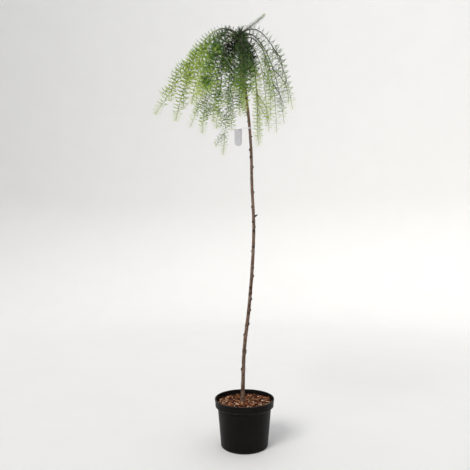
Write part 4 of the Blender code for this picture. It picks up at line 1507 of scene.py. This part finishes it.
class LARCH_OT_build_shoots(bpy.types.Operator):
    """Makes the soft shoots and their twigs, brown where they leave the arches and green at their tips"""

    bl_idname = "larch.build_shoots"
    bl_label = "Build the shoots"

    def execute(self, context):
        settings = context.scene.larch_needles
        pile = Pile()
        owners = set()
        for growth in plan_growth():
            shoot, line = growth.shoot, growth.shoot.line
            count = max(6, int((line.length - growth.stem_first) / SHOOT_RING_STEP))
            stations = np.linspace(growth.stem_first, line.length, count)
            shares = stations / line.length
            radii = mix(shoot.radius * 1.15, SHOOT_TIP_RADIUS * 0.95, shares)
            knobs = np.maximum(0.0, np.cos(stations / settings.tuft_step * math.tau)) ** 4
            radii = radii * (1.0 + SHOOT_KNOB * knobs * (shares < 1.0 - settings.new_growth))
            radii[-1] *= 0.4
            points, triangles = tube(line.at(stations), radii, SHOOT_SIDES)
            along = shares[triangles[:, 0] // SHOOT_SIDES]
            brown, straw = growth.young * 0.7, growth.young * 1.25
            pile.add(points, triangles, np.where(along < brown, 0, np.where(along < straw, 1, 2)))
            owners.add(shoot.owner)
        old, straw, young = settings.old_shoot, settings.straw_shoot, settings.young_shoot
        finishes = [
            varied("arch_wood", old, darker(old, 0.6), 240.0, 0.6, 0.85, bump=0.4),
            varied("straw_shoot", straw, old, 260.0, 0.5, 0.75, bump=0.3),
            varied("green_shoot", young, straw, 200.0, 0.42, 0.62, bump=0.2),
        ]
        shoots = pile.build("shoot_stems", finishes)
        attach(shoots, "root")
        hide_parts(*sorted(owners))
        return {"FINISHED"}


class LARCH_OT_build_needles(bpy.types.Operator):
    """Makes the needles: tufts on short shoots down each strand, and single ones on its new growth"""

    bl_idname = "larch.build_needles"
    bl_label = "Build the needles"

    def execute(self, context):
        settings = context.scene.larch_needles
        rng = np.random.default_rng(SEED + 43)
        beds, owners = {}, {}
        for growth in plan_growth():
            owner = growth.shoot.owner
            bed_name = self.bed_of(owner)
            bed = beds.setdefault(bed_name, NeedleBed())
            owners.setdefault(bed_name, set()).add(owner)
            self.add_tufts(bed, growth, settings, rng)
            self.add_singles(bed, growth, settings, rng)
        materials = []
        for name in (*TONES, "cool", "cool_fresh"):
            colour = getattr(settings, name)
            other = darker(colour, 0.82)
            materials.append(
                varied(f"needles_{name}", colour, other, 85.0, 0.5, 0.7, grain=300.0, specular=0.15)
            )
        for name, bed in sorted(beds.items()):
            piece = bed.build(name, materials)
            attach(piece, "root")
            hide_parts(*sorted(owners[name]))
        return {"FINISHED"}

    def bed_of(self, owner):
        """Which joined piece a spray's needles go into."""
        if not owner.startswith("weeping"):
            return "needles_top"
        number = int(owner[-2:])
        for tier, name in zip(TIERS, ("outer", "middle", "inner")):
            if number <= tier["count"]:
                return f"needles_{name}_{1 + (number > tier['count'] // 2)}"
            number -= tier["count"]

    def tones_of(self, growth, stations, rng, lighter=0.0):
        """The number of each station's tone, dealt out with a little chance."""
        count, last = len(stations), len(TONES) - 1
        values = shaded(growth, stations, growth.shoot.line.at(stations)) + lighter
        values = values + rng.normal(0.0, 0.04, count)
        numbers = np.clip(np.floor(values * last + rng.uniform(0.0, 1.0, count)), 0, last)
        # Painted shade: on the side away from the light, some middle and fresh tones turn into their darker,
        # bluer counterparts
        turned_to_shade_side = rng.uniform(0.0, 1.0, count) < growth.look.cool
        for warm, cool in SHADE_SIDE_TONES.items():
            numbers = np.where((numbers == warm) & turned_to_shade_side, cool, numbers)
        return numbers

    def add_tufts(self, bed, growth, settings, rng):
        """Tufts down a line, turned about it like leaves, fewer and shorter on its arch."""
        shoot, look, line = growth.shoot, growth.look, growth.shoot.line
        last = line.length * (1.0 - settings.new_growth)
        if growth.singles or last - growth.first < settings.tuft_step:
            return
        stations = lengthwise(line, growth.first, settings.tuft_step, rng, last)
        tangents, normals, across = frames_at(line, stations)
        turns = np.arange(len(stations)) * GOLDEN_TURN + rng.uniform(0, math.tau)
        facing = around(normals, across, turns)[:, 2]
        crowded = 1.0 + CORE_FULLER[shoot.tier] * in_core(line.at(stations))
        past = np.clip((stations - shoot.start) / ARCH_FILLS_OVER, 0.0, 1.0) if shoot.start else 1.0
        full = settings.tuft_needles * look.fullness * crowded
        full = full * mix(ARCH_FULLNESS * look.arch, 1.0, past**2)
        needles = np.maximum(2, np.round(full + rng.uniform(-1.5, 1.5, len(stations)))).astype(int)
        if look.arch <= 1.0:
            needles = np.where((stations < shoot.start) & (facing < ARCH_BARE_BELOW), 0, needles)
        row = np.repeat(np.arange(len(stations)), needles)
        count = len(row)
        angle = turns[row] + rng.normal(0.0, 0.07, count) * max(1.0, look.fullness)
        out, tangent = around(normals[row], across[row], angle), tangents[row]
        lean = rng.normal(*NEEDLE_LEAN, count)[:, None]
        lift = rng.normal(*NEEDLE_LIFT, count)[:, None]
        starts = out * 0.95 + tangent * lean
        ends = out * 0.78 + UP * lift + tangent * lean * 0.10
        closer = mix(ARCH_NEEDLE_SIZE * look.arch, 1.0, past) * (1.0 - 0.20 * (stations / line.length) ** 2)
        lengths = settings.length * growth.size * closer[row] * rng.uniform(*NEEDLE_LENGTHS, count)
        widths = settings.width * rng.uniform(*NEEDLE_WIDTHS, count)
        roots = line.at(stations[row]) + out * shoot.radius * 0.5
        bed.add(roots, starts, ends, lengths, widths, self.tones_of(growth, stations[row], rng))

    def add_singles(self, bed, growth, settings, rng):
        """Single needles on a line's new growth, shorter and closer to it towards its tip."""
        look, line = growth.look, growth.shoot.line
        first = growth.first
        if not growth.singles:
            first = max(first, line.length * (1.0 - settings.new_growth))
        stations = lengthwise(line, first, settings.single_step / max(0.6, look.fullness), rng)
        stations = np.minimum(stations, line.length)
        tangents, normals, across = frames_at(line, stations)
        count = len(stations)
        angle = np.arange(count) * GOLDEN_TURN + rng.normal(0.0, 0.3, count)
        out = around(normals, across, angle)
        shares = (stations - first) / max(line.length - first, 1e-6)
        closing = (0.22 + 0.50 * shares**2)[:, None]
        starts = out * 0.90 + tangents * closing
        ends = out * 0.72 + UP * 0.42 + tangents * closing * 0.6
        shorter = growth.size * (0.86 - 0.34 * shares)
        lengths = settings.length * shorter * rng.uniform(*SINGLE_LENGTHS, count)
        widths = settings.width * 0.92 * rng.uniform(*SINGLE_WIDTHS, count)
        roots = line.at(stations) + out * SHOOT_TIP_RADIUS * 0.5
        tones = self.tones_of(growth, stations, rng, lighter=NEW_GROWTH_LIGHTER)
        bed.add(roots, starts, ends, lengths, widths, tones)


def tag_top():
    """The middle of the hanging tag's upper edge."""
    return stem_centre(TAG_HEIGHT) + np.array((-TAG_ASIDE, -TAG_FORWARD, -TAG_DROP))


def on_tag(x, z):
    """Whether a place is within the tag's edge: small round corners above, and half a circle below."""
    if z < TAG_HALF - TAG_LENGTH:
        return math.hypot(x, z + TAG_LENGTH - TAG_HALF) <= TAG_HALF
    aside, rise = abs(x) - TAG_HALF + TAG_CORNER, z + TAG_CORNER
    if aside > 0.0 and rise > 0.0:
        return math.hypot(aside, rise) <= TAG_CORNER
    return abs(x) <= TAG_HALF and z <= 0.0


class LARCH_OT_build_tag(bpy.types.Operator):
    """Makes the blank name tag: a plate with a slot, and a strap looped round the stem"""

    bl_idname = "larch.build_tag"
    bl_label = "Build the name tag"

    def execute(self, context):
        colour = context.scene.larch_pot.tag_colour
        other = darker(colour, 0.90)
        plastic = varied("tag_plastic", colour, other, 70.0, 0.34, 0.52, grain=700.0, bump=0.12)
        plate = self.plate().build("tag_plate", [plastic])
        plate.data.set_sharp_from_angle(angle=math.radians(45.0))
        strap = self.strap().build("tag_strap", [plastic])
        for piece in (plate, strap):
            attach(piece, "root")
            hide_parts("name_tag")
        return {"FINISHED"}

    def plate(self):
        """The plate as rings of points from its slot to its rounded edge and back."""
        slot = np.array((0.0, -TAG_SLOT_DROP))
        turns = turns_of(TAG_SIDES)
        ways = np.stack([np.cos(turns), np.sin(turns)], -1)
        outline = np.array([self.edge_along(slot, way) for way in ways])
        hole = slot + ways * TAG_SLOT
        inner = hole + units(hole - slot) * TAG_SLOT_BEVEL
        edge = outline + units(slot - outline) * TAG_EDGE_BEVEL
        face = [hole, inner, *(mix(inner, edge, share) for share in TAG_RINGS), edge]
        rings = [(row, 0.0) for row in face] + [(outline, TAG_THICKNESS * 0.5)]
        rings += [(row, TAG_THICKNESS) for row in reversed(face)]
        points = np.array([np.insert(row, 1, depth, axis=1) for row, depth in rings])
        points[..., 1] += TAG_BOW * (points[..., 0] / TAG_HALF) ** 2
        points[..., 1] -= TAG_BELLY * np.sin(points[..., 2] / TAG_LENGTH * math.pi)
        pile = Pile()
        pile.add(points.reshape(-1, 3) + tag_top(), grid_triangles(len(rings), TAG_SIDES, closed=True))
        return pile

    def edge_along(self, slot, way):
        """The last place inside the tag's edge on a ray from its slot."""
        reach = 0.0
        for share in np.linspace(0.0, 1.0, TAG_EDGE_STEPS):
            if not on_tag(*(slot + way * share * TAG_LENGTH)):
                break
            reach = share * TAG_LENGTH
        return slot + way * reach

    def strap(self):
        """A flat band round the stem, and its tail through the plate's slot."""
        centre = stem_centre(TAG_HEIGHT)
        inner = stem_radius(TAG_HEIGHT) * 1.12 + FIT_GAP * 2
        turns = turns_of(STRAP_SIDES)
        across, up = (np.copysign(np.abs(x) ** 0.5, x) for x in (np.cos(turns), np.sin(turns)))
        section = np.stack([inner + TAG_THICKNESS * (0.5 + 0.5 * across), TAG_STRAP_HEIGHT / 2 * up], -1)
        band = lathe(section, STRAP_STEPS).reshape(STRAP_SIDES, STRAP_STEPS, 3).swapaxes(0, 1)
        pile = Pile()
        closed = grid_triangles(STRAP_STEPS, STRAP_SIDES, closed=True)[:, ::-1]
        pile.add(band.reshape(-1, 3) + centre, closed)
        hole = tag_top() - UP * TAG_SLOT_DROP
        from_loop = centre - heading(0) * (inner + TAG_THICKNESS * 0.5)
        path = bezier_line(
            from_loop,
            mix(from_loop, hole, 0.4) + (0.0, 0.002, 0.006),
            hole + (0.006, -0.010, 0.010),
            hole + (-0.0002, 0.004, -0.0006),
        )
        wide, thick = STRAP_TAIL
        flat = 1.0 / np.sqrt((np.cos(turns) / wide) ** 2 + (np.sin(turns) / thick) ** 2)
        stations = np.linspace(0.0, path.length, STRAP_STEPS)
        pile.add(*tube(path.at(stations), np.tile(flat, (STRAP_STEPS, 1)), STRAP_SIDES))
        return pile


# Panel and registration


class LARCH_PT_panel(bpy.types.Panel):
    """Lists the plant's sizes and colours, and the buttons that build its pieces"""

    bl_idname = "LARCH_PT_panel"
    bl_label = "Weeping larch standard"
    bl_space_type = "VIEW_3D"
    bl_region_type = "UI"
    bl_category = "Larch"

    def draw(self, context):
        """Draws one box for each section of the plant."""
        for title, settings, operators in SECTIONS:
            box = self.layout.box()
            box.label(text=title)
            values = getattr(context.scene, settings)
            for name in values.__annotations__:
                box.prop(values, name)
            for operator in operators:
                box.operator(operator.bl_idname)


SECTIONS = (
    ("Stage", "larch_stage", (LARCH_OT_build_stage,)),
    ("Pot, mulch and tag", "larch_pot", (LARCH_OT_build_pot, LARCH_OT_build_mulch, LARCH_OT_build_tag)),
    ("Bark", "larch_bark", (LARCH_OT_build_bark,)),
    ("Shoots and needles", "larch_needles", (LARCH_OT_build_shoots, LARCH_OT_build_needles)),
)
SETTINGS = {
    "larch_stage": LarchStageSettings,
    "larch_pot": LarchPotSettings,
    "larch_bark": LarchBarkSettings,
    "larch_needles": LarchNeedleSettings,
}
OPERATORS = [operator for _, _, operators in SECTIONS for operator in operators]
CLASSES = [*SETTINGS.values(), *OPERATORS, LARCH_PT_panel]


def register():
    for cls in CLASSES:
        bpy.utils.register_class(cls)
    for name, settings in SETTINGS.items():
        setattr(bpy.types.Scene, name, PointerProperty(type=settings))


def unregister():
    for name in SETTINGS:
        delattr(bpy.types.Scene, name)
    for cls in reversed(CLASSES):
        bpy.utils.unregister_class(cls)


def main():
    register()
    bpy.ops.larch.build_stage()
    bpy.ops.larch.build_pot()
    bpy.ops.larch.build_mulch()
    bpy.ops.larch.build_bark()
    bpy.ops.larch.build_shoots()
    bpy.ops.larch.build_needles()
    bpy.ops.larch.build_tag()
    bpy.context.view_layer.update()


if __name__ == "__main__":
    main()
